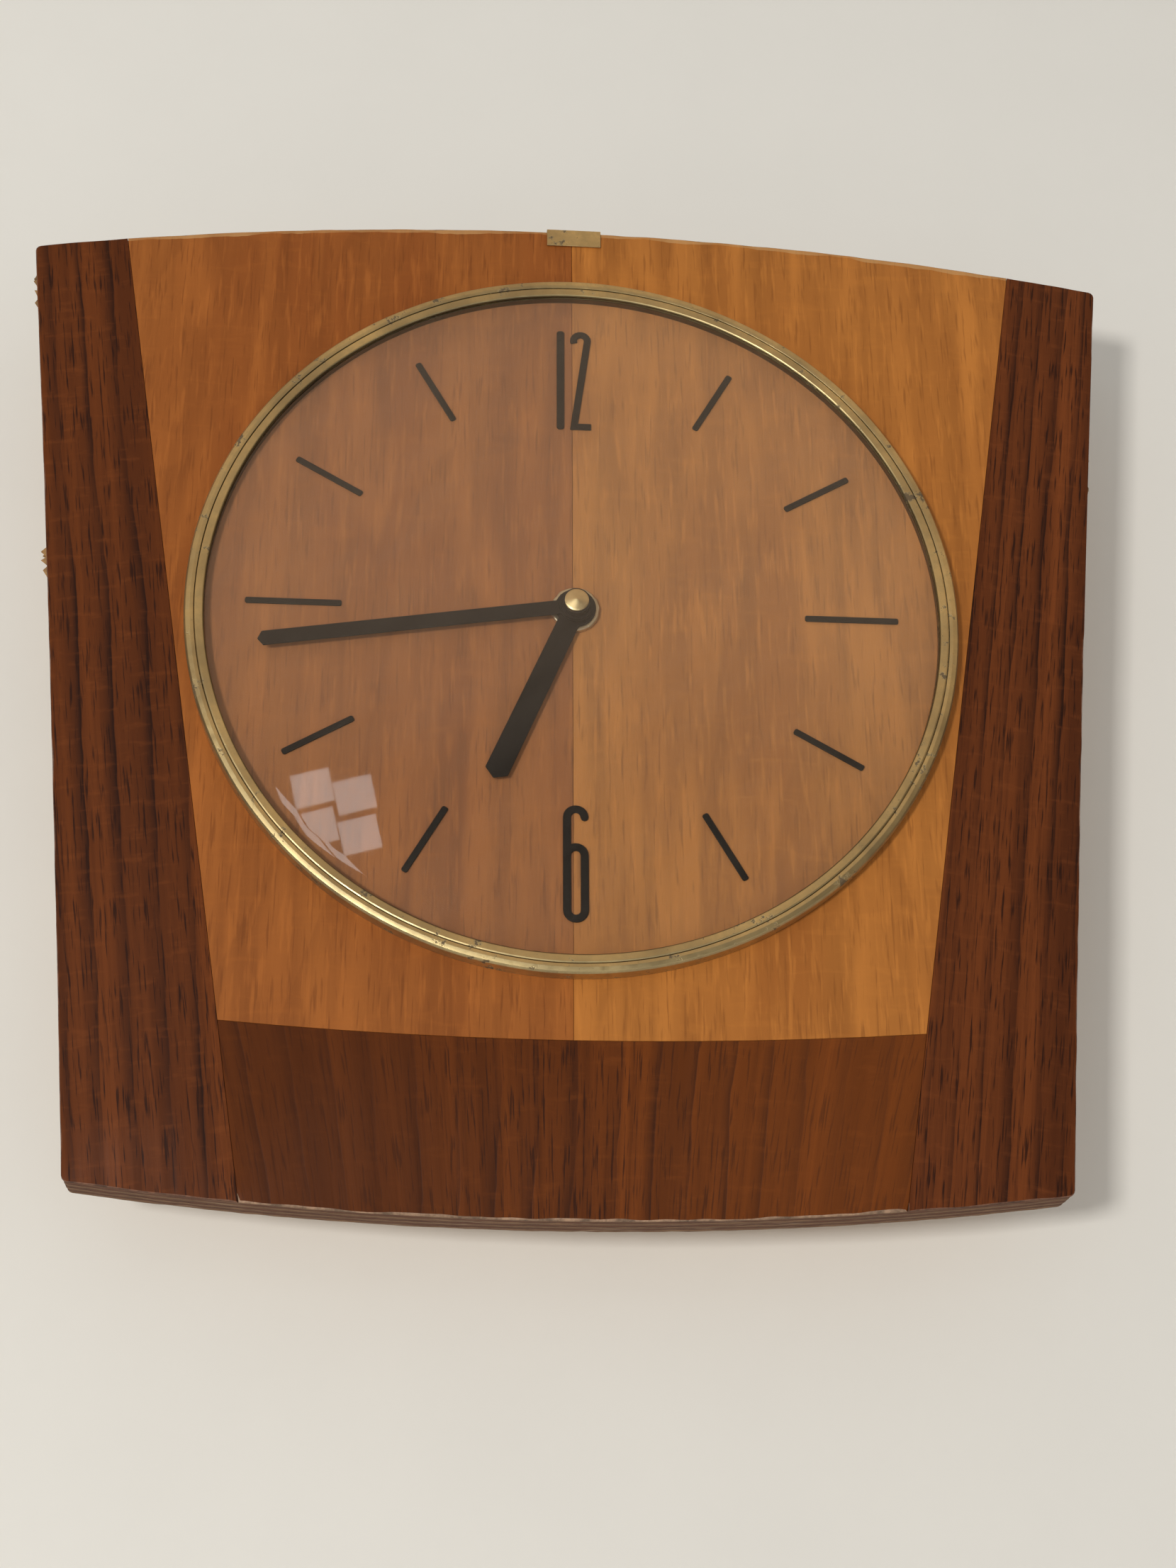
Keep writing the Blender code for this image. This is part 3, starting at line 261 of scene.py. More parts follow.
def dark_veneer(name, base, line, slope, offset, spacing=9.0, contrast=1.0, vee=0.0):
    """Rosewood-like veneer: soft bands, narrow wandering dark lines and short pores up the grain.

    The grain leans by slope, dark lines are about spacing millimetres apart, and vee makes them
    fan out, for the foot, which is also darker at its left and paler at its right.
    """
    graph = Graph(name)
    x, _, z = graph.parts(graph.scaled(1.0, turn=math.atan(slope), shift=offset))
    across_foot = x
    if vee:
        x = graph.math("ADD", x, graph.times(graph.times(x, z), -vee))

    def grain(across, along, detail=2.0, roughness=0.55):
        place = graph.vector(graph.times(x, across), 0.0, graph.times(z, along))
        return graph.noise(place, detail=detail, roughness=roughness)

    phase = graph.times(x, 1.0 / (spacing * MM))
    for across, along, amount in ((14.0, 2.4, 2.6), (42.0, 14.0, 0.55), (230.0, 75.0, 0.16)):
        phase = graph.math("ADD", phase, graph.times(grain(across, along), amount))
    saw = graph.math("FRACT", phase)
    rise = graph.math("POWER", graph.spread(saw, 0.45, 0.97), 2.4)
    lines = graph.times(rise, graph.spread(saw, 1.0, 0.97))
    lines = graph.times(lines, graph.spread(grain(36.0, 9.0), 0.36, 0.60, 0.15, 1.0))

    bands = grain(95.0, 1.6, detail=3.0)
    streaks = grain(520.0, 9.0, detail=3.0, roughness=0.6)
    dashes = grain(1500.0, 85.0)
    ripple = grain(120.0, 420.0, detail=3.0)

    red = (base[0] * 1.30, base[1] * 1.22, base[2] * 1.10)
    shade = (base[0] * 0.62, base[1] * 0.58, base[2] * 0.62)
    colour = graph.mix(graph.spread(bands, 0.36, 0.64), shade, red)
    colour = graph.mix(graph.spread(streaks, 0.46, 0.66, 0.0, 0.62 * contrast), colour, shade)
    colour = graph.mix(graph.times(lines, 0.85 * contrast), colour, line)
    paler = toned(base, 1.75)
    colour = graph.mix(graph.spread(ripple, 0.54, 0.80, 0.0, 0.30), colour, paler)
    colour = graph.mix(graph.spread(dashes, 0.55, 0.66, 0.0, 0.72 * contrast), colour, line)
    if vee:
        colour = graph.mix(graph.spread(across_foot, -40.0 * MM, -8.0 * MM, 0.60, 0.0), colour, shade)
        colour = graph.mix(graph.spread(across_foot, 10.0 * MM, 60.0 * MM, 0.0, 0.35), colour, paler)
    graph.set(Base_Color=colour, Specular_IOR_Level=0.09)
    graph.set(Roughness=graph.spread(streaks, 0.3, 0.8, 0.46, 0.62))
    graph.bump(dashes, -0.03 * MM)
    graph.bump(lines, -0.03 * MM)
    return graph.material


def raw_edge(name, tint):
    """The bare, rubbed corner where the veneer's face has worn away."""
    graph = Graph(name)
    patches = graph.noise(graph.scaled(220.0), detail=4.0, roughness=0.7)
    dirt = graph.noise(graph.scaled(900.0), detail=3.0)
    dark = toned(tint, 0.35)
    colour = graph.mix(graph.spread(patches, 0.38, 0.62), dark, tint)
    colour = graph.mix(graph.spread(dirt, 0.55, 0.75, 0.0, 0.6), colour, dark)
    graph.set(Base_Color=colour, Roughness=0.75)
    graph.bump(dirt, 0.1 * MM)
    return graph.material


def plywood():
    """Sawn plies below, edges darker at the top and sides, and long grain on the back."""
    graph = Graph("plywood")
    depth = graph.math("SUBTRACT", graph.parts()[1], FACE_Y)
    rough = graph.noise(graph.scaled(160.0, 500.0, 160.0), detail=4.0, roughness=0.7)
    wavy = graph.math("ADD", depth, graph.times(rough, 0.5 * MM))
    ply = graph.math("DIVIDE", wavy, PLY)
    saw = graph.math("FRACT", ply)
    glue = graph.math("GREATER_THAN", saw, 0.86)
    crossed = graph.math("GREATER_THAN", graph.math("MODULO", ply, 2.0), 1.0)
    fibres = graph.noise(graph.scaled(240.0, 2600.0, 240.0), detail=4.0, roughness=0.75)
    colour = graph.mix(crossed, (0.30, 0.165, 0.085), (0.215, 0.085, 0.042))
    colour = graph.mix(graph.spread(fibres, 0.40, 0.70, 0.0, 0.8), colour, (0.10, 0.045, 0.024))
    colour = graph.mix(graph.times(glue, 0.8), colour, (0.055, 0.026, 0.016))
    pale = graph.spread(graph.noise(graph.scaled(90.0, 900.0, 90.0), detail=3.0), 0.60, 0.74)
    colour = graph.mix(graph.times(pale, 0.6), colour, (0.48, 0.34, 0.22))

    facing = graph.parts(graph.add("NewGeometry").outputs["Normal"])
    # Edges that face up or sideways are made darker than the bottom edge, which shows its plies.
    darker_edge = graph.mix(graph.spread(fibres, 0.35, 0.75), (0.050, 0.020, 0.014), (0.085, 0.034, 0.022))
    not_facing_down = graph.spread(facing[2], -0.75, -0.55)
    colour = graph.mix(graph.times(not_facing_down, 0.92), colour, darker_edge)

    long_grain = graph.noise(graph.scaled(9.0, 9.0, 190.0), detail=4.0, distortion=0.4)
    lathe_checks = graph.noise(graph.scaled(34.0, 34.0, 1500.0), detail=2.0)
    slow = graph.noise(graph.scaled(5.0, 5.0, 22.0), detail=2.0)
    rings = graph.math("FRACT", graph.times(slow, 14.0))
    back = graph.mix(graph.spread(long_grain, 0.35, 0.68), (0.36, 0.205, 0.10), (0.52, 0.33, 0.18))
    back = graph.mix(graph.spread(rings, 0.70, 1.0, 0.0, 0.4), back, (0.27, 0.13, 0.06))
    back = graph.mix(graph.spread(lathe_checks, 0.62, 0.72, 0.0, 0.4), back, (0.20, 0.10, 0.05))
    stains = graph.noise(graph.scaled(14.0), detail=4.0)
    back = graph.mix(graph.spread(stains, 0.55, 0.75, 0.0, 0.35), back, (0.22, 0.13, 0.075))
    colour = graph.mix(graph.spread(facing[1], 0.6, 0.8), colour, back)
    graph.set(Base_Color=colour, Roughness=0.85)
    graph.bump(fibres, 0.15 * MM)
    graph.bump(lathe_checks, 0.05 * MM)
    return graph.material


def tarnished_brass_and_painted_shade(name):
    """Brass plate whose lacquer has dulled and flaked, with brown spots, and painted shade darkening the
    bezel's inner wall.
    """
    graph = Graph(name, Metallic=1.0)
    radius = from_axis(graph)
    lathe_lines = graph.noise(graph.vector(graph.times(radius, 5200.0), 0.0, 0.0), detail=2.0)
    cloud = graph.noise(graph.scaled(45.0), detail=4.0, roughness=0.65)
    mottle = graph.noise(graph.scaled(420.0), detail=4.0, roughness=0.7)
    spots = graph.noise(graph.scaled(160.0, shift=(3.1, 0.4, 1.7)), detail=5.0, roughness=0.72)
    specks = graph.noise(graph.scaled(1500.0), detail=2.0)
    bright = (0.70, 0.55, 0.27)
    dull = (0.43, 0.345, 0.185)
    brown = (0.15, 0.105, 0.055)
    colour = graph.mix(graph.spread(cloud, 0.36, 0.66), dull, bright)
    colour = graph.mix(graph.spread(mottle, 0.42, 0.70, 0.0, 0.45), colour, dull)
    stain = graph.spread(spots, 0.600, 0.645)
    speck = graph.spread(specks, 0.70, 0.76, 0.0, 0.7)
    colour = graph.mix(graph.math("MAXIMUM", stain, speck), colour, brown)
    # Painted shade: the inner walls of the two bezel rings, which the rings themselves shade, are darkened
    # almost to black.
    painted_shade_inner_wall = graph.spread(radius, BEZEL_INNER + 0.35 * MM, BEZEL_INNER + 0.15 * MM)
    painted_shade_inner_wall = graph.times(painted_shade_inner_wall, graph.math("GREATER_THAN", radius, BEZEL_INNER - 6.4 * MM))
    colour = graph.mix(graph.times(painted_shade_inner_wall, 0.85), colour, (0.060, 0.042, 0.018))
    graph.set(Base_Color=colour, Metallic=graph.spread(stain, 0.0, 1.0, 0.92, 0.35))
    rough = graph.spread(mottle, 0.3, 0.7, 0.30, 0.46)
    graph.set(Roughness=graph.math("ADD", rough, graph.times(stain, 0.35)))
    graph.bump(lathe_lines, 0.004 * MM)
    graph.bump(stain, -0.04 * MM)
    graph.bump(mottle, 0.012 * MM)
    return graph.material


def plain_metal(name, colour, roughness, scratch=0.25, scale=900.0, grain=(1.0, 1.0, 0.06)):
    """Metal with fine brushing, small variations of tone and a few darker marks."""
    graph = Graph(name, Metallic=1.0)
    brushed = graph.noise(graph.scaled(*(scale * value for value in grain)), detail=3.0)
    cloud = graph.noise(graph.scaled(80.0), detail=4.0, roughness=0.6)
    darker = toned(colour, 0.55)
    tone = graph.mix(graph.spread(cloud, 0.45, 0.80, 0.0, 0.65), colour, darker)
    tone = graph.mix(graph.spread(brushed, 0.35, 0.75, 0.0, scratch), tone, darker)
    graph.set(Base_Color=tone)
    graph.set(Roughness=graph.spread(brushed, 0.25, 0.75, roughness * 0.8, roughness * 1.3))
    graph.bump(brushed, 0.006 * MM)
    return graph.material


def moulded(name, colour, roughness=0.35, grain=0.02, dust=0.0, yellow=0.0, gloss=0.5):
    """Moulded plastic: faint orange peel, uneven gloss, and dust or yellowing where asked."""
    graph = Graph(name)
    peel = graph.noise(graph.scaled(700.0), detail=2.0)
    cloud = graph.noise(graph.scaled(38.0), detail=4.0, roughness=0.6)
    fluff = graph.noise(graph.scaled(260.0), detail=5.0, roughness=0.75)
    tone = graph.mix(graph.spread(cloud, 0.3, 0.7, 0.0, 0.5), colour, toned(colour, 0.82))
    aged = (colour[0] * 0.88, colour[1] * 0.72, colour[2] * 0.45)
    tone = graph.mix(graph.spread(cloud, 0.5, 0.8, 0.0, yellow), tone, aged)
    tone = graph.mix(graph.spread(fluff, 0.50, 0.85, 0.0, dust), tone, (0.42, 0.38, 0.33))
    graph.set(Base_Color=tone, Specular_IOR_Level=gloss)
    graph.set(Roughness=graph.spread(fluff, 0.3, 0.8, roughness, min(roughness + 0.22, 1.0)))
    graph.bump(peel, grain * MM)
    return graph.material


def clear_glass():
    """Domed glass with a light film of dust. Rays from lamps pass straight through it."""
    graph = Graph("glass", Transmission_Weight=1.0, IOR=1.47)
    film = graph.noise(graph.scaled(18.0), detail=4.0, roughness=0.6)
    wipes = graph.noise(graph.scaled(30.0, 30.0, 220.0, turn=0.7), detail=3.0)
    smear = graph.times(film, wipes)
    graph.set(Base_Color=(0.985, 0.985, 0.975), Roughness=graph.spread(smear, 0.1, 0.5, 0.012, 0.05))
    haze = graph.add("BsdfDiffuse", {"Color": (0.80, 0.66, 0.52)})
    dust = graph.spread(smear, 0.12, 0.45, 0.002, 0.012)
    dusty = graph.either(dust, graph.shader.outputs[0], haze.outputs[0])
    path = graph.add("LightPath")
    indirect = graph.math("MAXIMUM", path.outputs["Is Shadow Ray"], path.outputs["Is Diffuse Ray"])
    through = graph.add("BsdfTransparent", {"Color": (0.93, 0.93, 0.92)})
    graph.either(indirect, dusty, through.outputs[0])
    return graph.material


def wound_copper():
    """Fine enamelled wire in rings round the coil's own centre."""
    graph = Graph("copper", Metallic=0.85)
    low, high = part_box("drive_coil")
    centre = (middle("drive_coil").x, 0.0, high[2] - (high[0] - low[0]) / 2)
    radius = from_axis(graph, centre)
    turns = graph.math("SINE", graph.times(radius, TAU / (0.22 * MM)))
    colour = graph.mix(graph.spread(turns, -1.0, 1.0), (0.26, 0.075, 0.03), (0.62, 0.23, 0.10))
    graph.set(Base_Color=colour, Roughness=0.34)
    graph.bump(turns, 0.03 * MM)
    return graph.material


def resin_board():
    """Brown paper laminate with a faint woven fleck."""
    graph = Graph("resin_board", Roughness=0.5)
    fleck = graph.noise(graph.scaled(1400.0), detail=3.0)
    cloud = graph.noise(graph.scaled(120.0), detail=3.0)
    colour = graph.mix(graph.spread(cloud, 0.3, 0.7), (0.33, 0.165, 0.065), (0.43, 0.235, 0.10))
    colour = graph.mix(graph.spread(fleck, 0.55, 0.75, 0.0, 0.5), colour, (0.22, 0.11, 0.045))
    graph.set(Base_Color=colour)
    graph.bump(fleck, 0.02 * MM)
    return graph.material


def plaster(name, colour, seen_from_front=False):
    """Smooth painted plaster. The wall's is there only for what looks at its front from the room."""
    graph = Graph(name, Roughness=0.85)
    trowel = graph.noise(graph.scaled(14.0), detail=5.0, roughness=0.6)
    graph.set(Base_Color=graph.mix(graph.spread(trowel, 0.3, 0.7), colour, toned(colour, 0.975)))
    graph.bump(trowel, 1.2 * MM, 0.25)
    if seen_from_front:
        seen = graph.add("LightPath").outputs["Is Camera Ray"]
        behind = graph.add("NewGeometry").outputs["Backfacing"]
        open_wall = graph.math("MAXIMUM", behind, graph.math("SUBTRACT", 1.0, seen))
        graph.either(open_wall, graph.shader.outputs[0], graph.add("BsdfTransparent").outputs[0])
    return graph.material


PLY = (PANEL_BACK_Y - FACE_Y) / 7
STREAK = (0.022, 0.0075, 0.0045)
SIDE_LEAN = 0.137     # the side veneers' grain runs along the panel's slanting sides
LEFT_LIGHT = light_veneer(
    "light_veneer_left", base=(0.262, 0.073, 0.0120), warm=(0.335, 0.106, 0.0190), offset=(0.31, 0.0, 0.12)
)
RIGHT_LIGHT = light_veneer(
    "light_veneer_right", base=(0.355, 0.118, 0.0200), warm=(0.450, 0.166, 0.0300), offset=(1.27, 0.0, 0.58)
)
LEFT_DARK = dark_veneer(
    "dark_veneer_left", (0.142, 0.0390, 0.0088), STREAK, SIDE_LEAN, (0.2, 0.0, 0.4),
    spacing=8.0, contrast=1.2,
)
RIGHT_DARK = dark_veneer(
    "dark_veneer_right", (0.134, 0.0370, 0.0094), STREAK, -SIDE_LEAN, (0.9, 0.0, 0.1),
    spacing=6.5, contrast=1.2,
)
FOOT_DARK = dark_veneer(
    "dark_veneer_foot", (0.130, 0.0345, 0.0056), STREAK, 0.0, (0.004, 0.0, 0.24), contrast=1.05, vee=3.0
)
PLYWOOD = plywood()
EDGE_LIGHT = raw_edge("edge_light", (0.58, 0.33, 0.13))
EDGE_DARK = raw_edge("edge_dark", (0.22, 0.10, 0.055))
EDGE_FOOT = raw_edge("edge_foot", (0.42, 0.26, 0.16))
BEZEL_BRASS = tarnished_brass_and_painted_shade("aged_brass")
BRASS = plain_metal("brass", (0.78, 0.58, 0.27), 0.27)
CAP_BRASS = plain_metal("cap_brass", (0.70, 0.56, 0.30), 0.36, 0.3, 500.0, (1.0, 1.0, 1.0))
NUT_BRASS = plain_metal("nut_brass", (0.66, 0.58, 0.42), 0.32, 0.5)
STEEL = plain_metal("steel", (0.52, 0.52, 0.53), 0.30)
ZINC = plain_metal("zinc", (0.46, 0.455, 0.43), 0.42, 0.4, 240.0, (1.0, 1.0, 1.0))
BLACK = moulded("black", (0.007, 0.0062, 0.0058), 0.42, 0.012, dust=0.005, gloss=0.12)
IVORY = moulded("ivory_plastic", (0.60, 0.52, 0.36), 0.34, 0.02, dust=0.08, yellow=0.5)
BROWN = moulded("brown_plastic", (0.070, 0.034, 0.022), 0.30, 0.02, dust=0.12)
WHITE = moulded("white_plastic", (0.74, 0.72, 0.66), 0.42, 0.01)
JACKET = moulded("battery_wrap", (0.045, 0.11, 0.25), 0.28, 0.008)
GLASS = clear_glass()
COPPER = wound_copper()
BOARD = resin_board()


# ---- Making pieces ----

def finished(name, work, materials, body, nodes=(), sharp=35.0):
    """Links a mesh as a piece that rides on a body and stands for these CAD nodes."""
    bmesh.ops.recalc_face_normals(work, faces=work.faces)
    mesh = bpy.data.meshes.new(name)
    work.to_mesh(mesh)
    work.free()
    for material in materials if isinstance(materials, list) else [materials]:
        mesh.materials.append(material)
    mesh.shade_smooth()
    mesh.set_sharp_from_angle(angle=math.radians(sharp))
    made = bpy.data.objects.new(name, mesh)
    bpy.context.collection.objects.link(made)
    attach(made, body)
    if nodes:
        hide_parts(*nodes)
    return made


def solid_of(node):
    """A CAD node's mesh with its flat faces whole again."""
    work = bmesh.new()
    work.from_mesh(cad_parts[node].data)
    bmesh.ops.remove_doubles(work, verts=work.verts, dist=1e-6)
    bmesh.ops.dissolve_limit(work, angle_limit=math.radians(0.5), verts=work.verts, edges=work.edges)
    return work


def corners(work, least=40.0):
    """The edges that turn by more than this many degrees."""
    least = math.radians(least)
    return [e for e in work.edges if len(e.link_faces) == 2 and e.calc_face_angle(0.0) > least]


def bevelled(work, edges, width, segments, profile=0.5):
    bmesh.ops.bevel(
        work,
        geom=edges,
        offset=width,
        segments=segments,
        profile=profile,
        affect="EDGES",
        clamp_overlap=True,
    )


def evenly_shaded(piece):
    piece.modifiers.new("even_shading", "WEIGHTED_NORMAL").keep_sharp = True


def softened(node, width, material, body, segments=2, least=40.0):
    """A CAD node with its corners rounded by this width."""
    work = solid_of(node)
    bevelled(work, corners(work, least), width, segments)
    bmesh.ops.dissolve_degenerate(work, edges=work.edges, dist=2e-6)
    evenly_shaded(finished(node + "_finish", work, material, body, [node], sharp=50.0))


def turned(profile, steps, axis, wobble=None):
    """A closed (radius, y) profile turned about an axis along Y. Wobble changes each radius."""
    work = bmesh.new()
    rings = []
    for step in range(steps):
        a = TAU * step / steps
        ring = []
        for radius, y in profile:
            r = radius + (wobble(a, radius, y) if wobble else 0.0)
            ring.append(work.verts.new((axis.x + r * math.cos(a), y, axis.z + r * math.sin(a))))
        rings.append(ring)
    count = len(profile)
    for step in range(steps):
        here, after = rings[step], rings[(step + 1) % steps]
        for i in range(count):
            j = (i + 1) % count
            if profile[i][0] > 0.0 or profile[j][0] > 0.0:
                work.faces.new((here[i], here[j], after[j], after[i]))
    bmesh.ops.remove_doubles(work, verts=work.verts, dist=1e-7)
    bmesh.ops.dissolve_degenerate(work, edges=work.edges, dist=1e-8)
    return work


def lathe(name, profile, steps, material, body, nodes, wobble=None, sharp=35.0):
    """A solid turned about the hands' axis, as a finished piece."""
    finished(name, turned(profile, steps, HANDS, wobble), material, body, nodes, sharp)


def rounded_profile(points, radii, steps=4):
    """A profile with an arc of the given radius at each corner, or none where it is 0."""
    made = []
    count = len(points)
    for i, (point, radius) in enumerate(zip(points, radii)):
        if radius <= 0.0:
            made.append(point)
            continue
        here = Vector(point)
        to_before = (Vector(points[i - 1]) - here).normalized()
        to_after = (Vector(points[(i + 1) % count]) - here).normalized()
        opening = to_before.angle(to_after)
        reach = radius / math.tan(opening / 2)
        start, end = here + to_before * reach, here + to_after * reach
        centre = here + (to_before + to_after).normalized() * (radius / math.sin(opening / 2))
        for k in range(steps + 1):
            way = start.lerp(end, k / steps) - centre
            made.append(tuple(centre + way.normalized() * radius))
    return made


# ---- Panel ----

def outline_of(node):
    """The longest loop round a flat node's front face, in order, as (x, z)."""
    work = solid_of(node)
    y = min(v.co.y for v in work.verts)
    flat = [f for f in work.faces if all(abs(v.co.y - y) < 1e-6 for v in f.verts)]
    rim = {}
    for face in flat:
        for loop in face.loops:
            other = loop.link_loop_radial_next.face
            if other not in flat:
                rim[loop.vert.index] = loop.link_loop_next.vert.index
    work.verts.ensure_lookup_table()
    best = []
    while rim:
        start = next(iter(rim))
        ring = []
        at = start
        while at in rim:
            ring.append((work.verts[at].co.x, work.verts[at].co.z))
            at = rim.pop(at)
        if len(ring) > len(best):
            best = ring
    work.free()
    return best


def resampled(points, step):
    """The same closed outline with no side longer than step."""
    made = []
    for i, here in enumerate(points):
        after = points[(i + 1) % len(points)]
        count = max(1, math.ceil(math.dist(here, after) / step))
        for k in range(count):
            t = k / count
            made.append((here[0] + (after[0] - here[0]) * t, here[1] + (after[1] - here[1]) * t))
    return made


def inward(points):
    """The unit normal into the outline at each point."""
    area = sum(
        points[i - 1][0] * points[i][1] - points[i][0] * points[i - 1][1] for i in range(len(points))
    )
    sign = 1.0 if area > 0 else -1.0
    made = []
    for i in range(len(points)):
        before, after = points[i - 1], points[(i + 1) % len(points)]
        way = Vector((after[0] - before[0], after[1] - before[1])).normalized()
        made.append(Vector((-way.y, way.x)) * sign)
    return made


def distance_to(outline, point):
    """How far a point is from a closed outline."""
    best = 1.0
    here = Vector(point)
    for i in range(len(outline)):
        start, end = Vector(outline[i - 1]), Vector(outline[i])
        way = end - start
        t = max(0.0, min(1.0, (here - start).dot(way) / max(way.length_squared, 1e-12)))
        best = min(best, (start + way * t - here).length)
    return best


PANEL_OUTLINE = outline_of("panel_core")
ROUGH = 2.2 * MM      # the longest side of a worn outline
CORE_BORE = 5.0 * MM


def rings_to_solid(work, rings, material_of):
    """Faces between rings of equal length, from the first ring to the last."""
    for index in range(len(rings) - 1):
        first, second = rings[index], rings[index + 1]
        for i in range(len(first)):
            face = work.faces.new((first[i - 1], first[i], second[i], second[i - 1]))
            face.material_index = material_of(index, i)


def capped(work, loops):
    """One flat face, as triangles, inside the first loop and outside the others."""
    edges = []
    for ring in loops:
        for i in range(len(ring)):
            pair = (ring[i - 1], ring[i])
            edges.append(work.edges.get(pair) or work.edges.new(pair))
    bmesh.ops.triangle_fill(work, use_beauty=True, use_dissolve=False, edges=edges)


def make_panel_core():
    """The board: plies that stand proud or shrink back at the sawn edge."""
    work = bmesh.new()
    front, back = low_of("panel_core").y, high_of("panel_core").y
    points = resampled(PANEL_OUTLINE, ROUGH)
    normals = inward(points)
    levels = 22
    rings = []
    for level in range(levels + 1):
        y = front + (back - front) * level / levels
        ply = int((y - FACE_Y) / PLY)
        ring = []
        for (x, z), normal in zip(points, normals):
            place = Vector((x * 260.0, y * 900.0, z * 260.0))
            loss = 0.10 * MM * (ply % 2) + 0.16 * MM * (noise.noise(place) + 0.55)
            if level in (0, levels):
                loss += 0.12 * MM
            moved = Vector((x, z)) + normal * max(loss, 0.0)
            ring.append(work.verts.new((moved.x, y, moved.y)))
        rings.append(ring)
    holes = []
    for y in (front, back):
        ring = []
        for k in range(40):
            a = TAU * k / 40
            x, z = CENTRE.x + CORE_BORE * math.cos(a), CENTRE.z + CORE_BORE * math.sin(a)
            ring.append(work.verts.new((x, y, z)))
        holes.append(ring)
    rings_to_solid(work, rings, lambda index, i: 0)
    rings_to_solid(work, holes, lambda index, i: 0)
    capped(work, [rings[0], holes[0]])
    capped(work, [rings[-1], holes[1]])
    finished("panel_board", work, PLYWOOD, BODY, ["panel_core"])


def make_veneer(node, material, edge_material, wear):
    """A veneer sheet whose outer corner is rubbed away, more in some places than others."""
    work = bmesh.new()
    front, back = low_of(node).y, high_of(node).y
    points = resampled(outline_of(node), ROUGH)
    normals = inward(points)
    outer = [distance_to(PANEL_OUTLINE, point) < 0.08 * MM for point in points]
    rings = [[], [], [], []]
    for (x, z), normal, is_outer in zip(points, normals, outer):
        here = Vector((x, z))
        ragged = 0.5 + noise.noise(Vector((x * 140.0, 3.7, z * 140.0)))
        inset = wear * (0.45 + 1.1 * max(ragged, 0.0)) if is_outer else 0.04 * MM
        drop = min(inset * 0.75, (back - front) * 0.8) if is_outer else 0.05 * MM
        back_loss = 0.06 * MM * max(ragged, 0.0) if is_outer else 0.0
        for ring, way, y in (
            (rings[0], inset, front),
            (rings[1], inset * 0.35, front + drop * 0.45),
            (rings[2], back_loss, front + drop),
            (rings[3], back_loss, back),
        ):
            moved = here + normal * way
            ring.append(work.verts.new((moved.x, y, moved.y)))
    rings_to_solid(work, rings, lambda index, i: 1 if outer[i] else 0)
    capped(work, [rings[0]])
    capped(work, [rings[-1]])
    finished(node + "_sheet", work, [material, edge_material], BODY, [node])


# Side (-1 is the left), height over the dial's middle, how many, and how far they reach.
SPLINTERS = ((-1, 97.0, 5, 1.3), (-1, 12.0, 4, 1.9), (1, 84.0, 3, 0.8), (1, 50.0, 4, 0.7))


def make_splinters():
    """Torn slivers of the side veneer that stick out of the panel's edge."""
    rng = random.Random(4)
    work = bmesh.new()
    for side, height, count, reach in SPLINTERS:
        for _ in range(count):
            z = CENTRE.z + (height + rng.uniform(-7.0, 7.0)) * MM
            x = edge_x(z, side)
            y = FACE_Y + rng.uniform(0.8, 5.0) * MM
            out = reach * rng.uniform(0.5, 1.0) * MM
            tall = rng.uniform(2.0, 5.5) * MM
            thick = rng.uniform(0.18, 0.35) * MM
            base = [(x - side * 0.3 * MM, y, z - tall / 2), (x - side * 0.3 * MM, y, z + tall / 2)]
            tip = (x + side * out, y - rng.uniform(0.0, 0.6) * MM, z + rng.uniform(-0.3, 0.5) * tall)
            loops = []
            for dy in (-thick / 2, thick / 2):
                loops.append([work.verts.new((px, py + dy, pz)) for px, py, pz in (*base, tip)])
            work.faces.new(loops[0])
            work.faces.new(loops[1][::-1])
            for i in range(3):
                work.faces.new((loops[0][i - 1], loops[0][i], loops[1][i], loops[1][i - 1]))
    finished("edge_splinters", work, EDGE_LIGHT, BODY)


def edge_x(z, side):
    """Where the panel's side is at this height."""
    best = None
    for i in range(len(PANEL_OUTLINE)):
        (x0, z0), (x1, z1) = PANEL_OUTLINE[i - 1], PANEL_OUTLINE[i]
        if x0 * side > 0 and (z0 - z) * (z1 - z) <= 0 and z0 != z1:
            x = x0 + (x1 - x0) * (z - z0) / (z1 - z0)
            best = x if best is None or side * x > side * best else best
    return best


def make_panel():
    make_panel_core()
    make_veneer("veneer_light_left", LEFT_LIGHT, EDGE_LIGHT, 0.30 * MM)
    make_veneer("veneer_light_right", RIGHT_LIGHT, EDGE_LIGHT, 0.30 * MM)
    make_veneer("veneer_dark_left", LEFT_DARK, EDGE_DARK, 0.25 * MM)
    make_veneer("veneer_dark_right", RIGHT_DARK, EDGE_DARK, 0.25 * MM)
    make_veneer("veneer_dark_bottom", FOOT_DARK, EDGE_FOOT, 0.45 * MM)
    make_splinters()


# ---- Dial, bezel, glass and hands ----

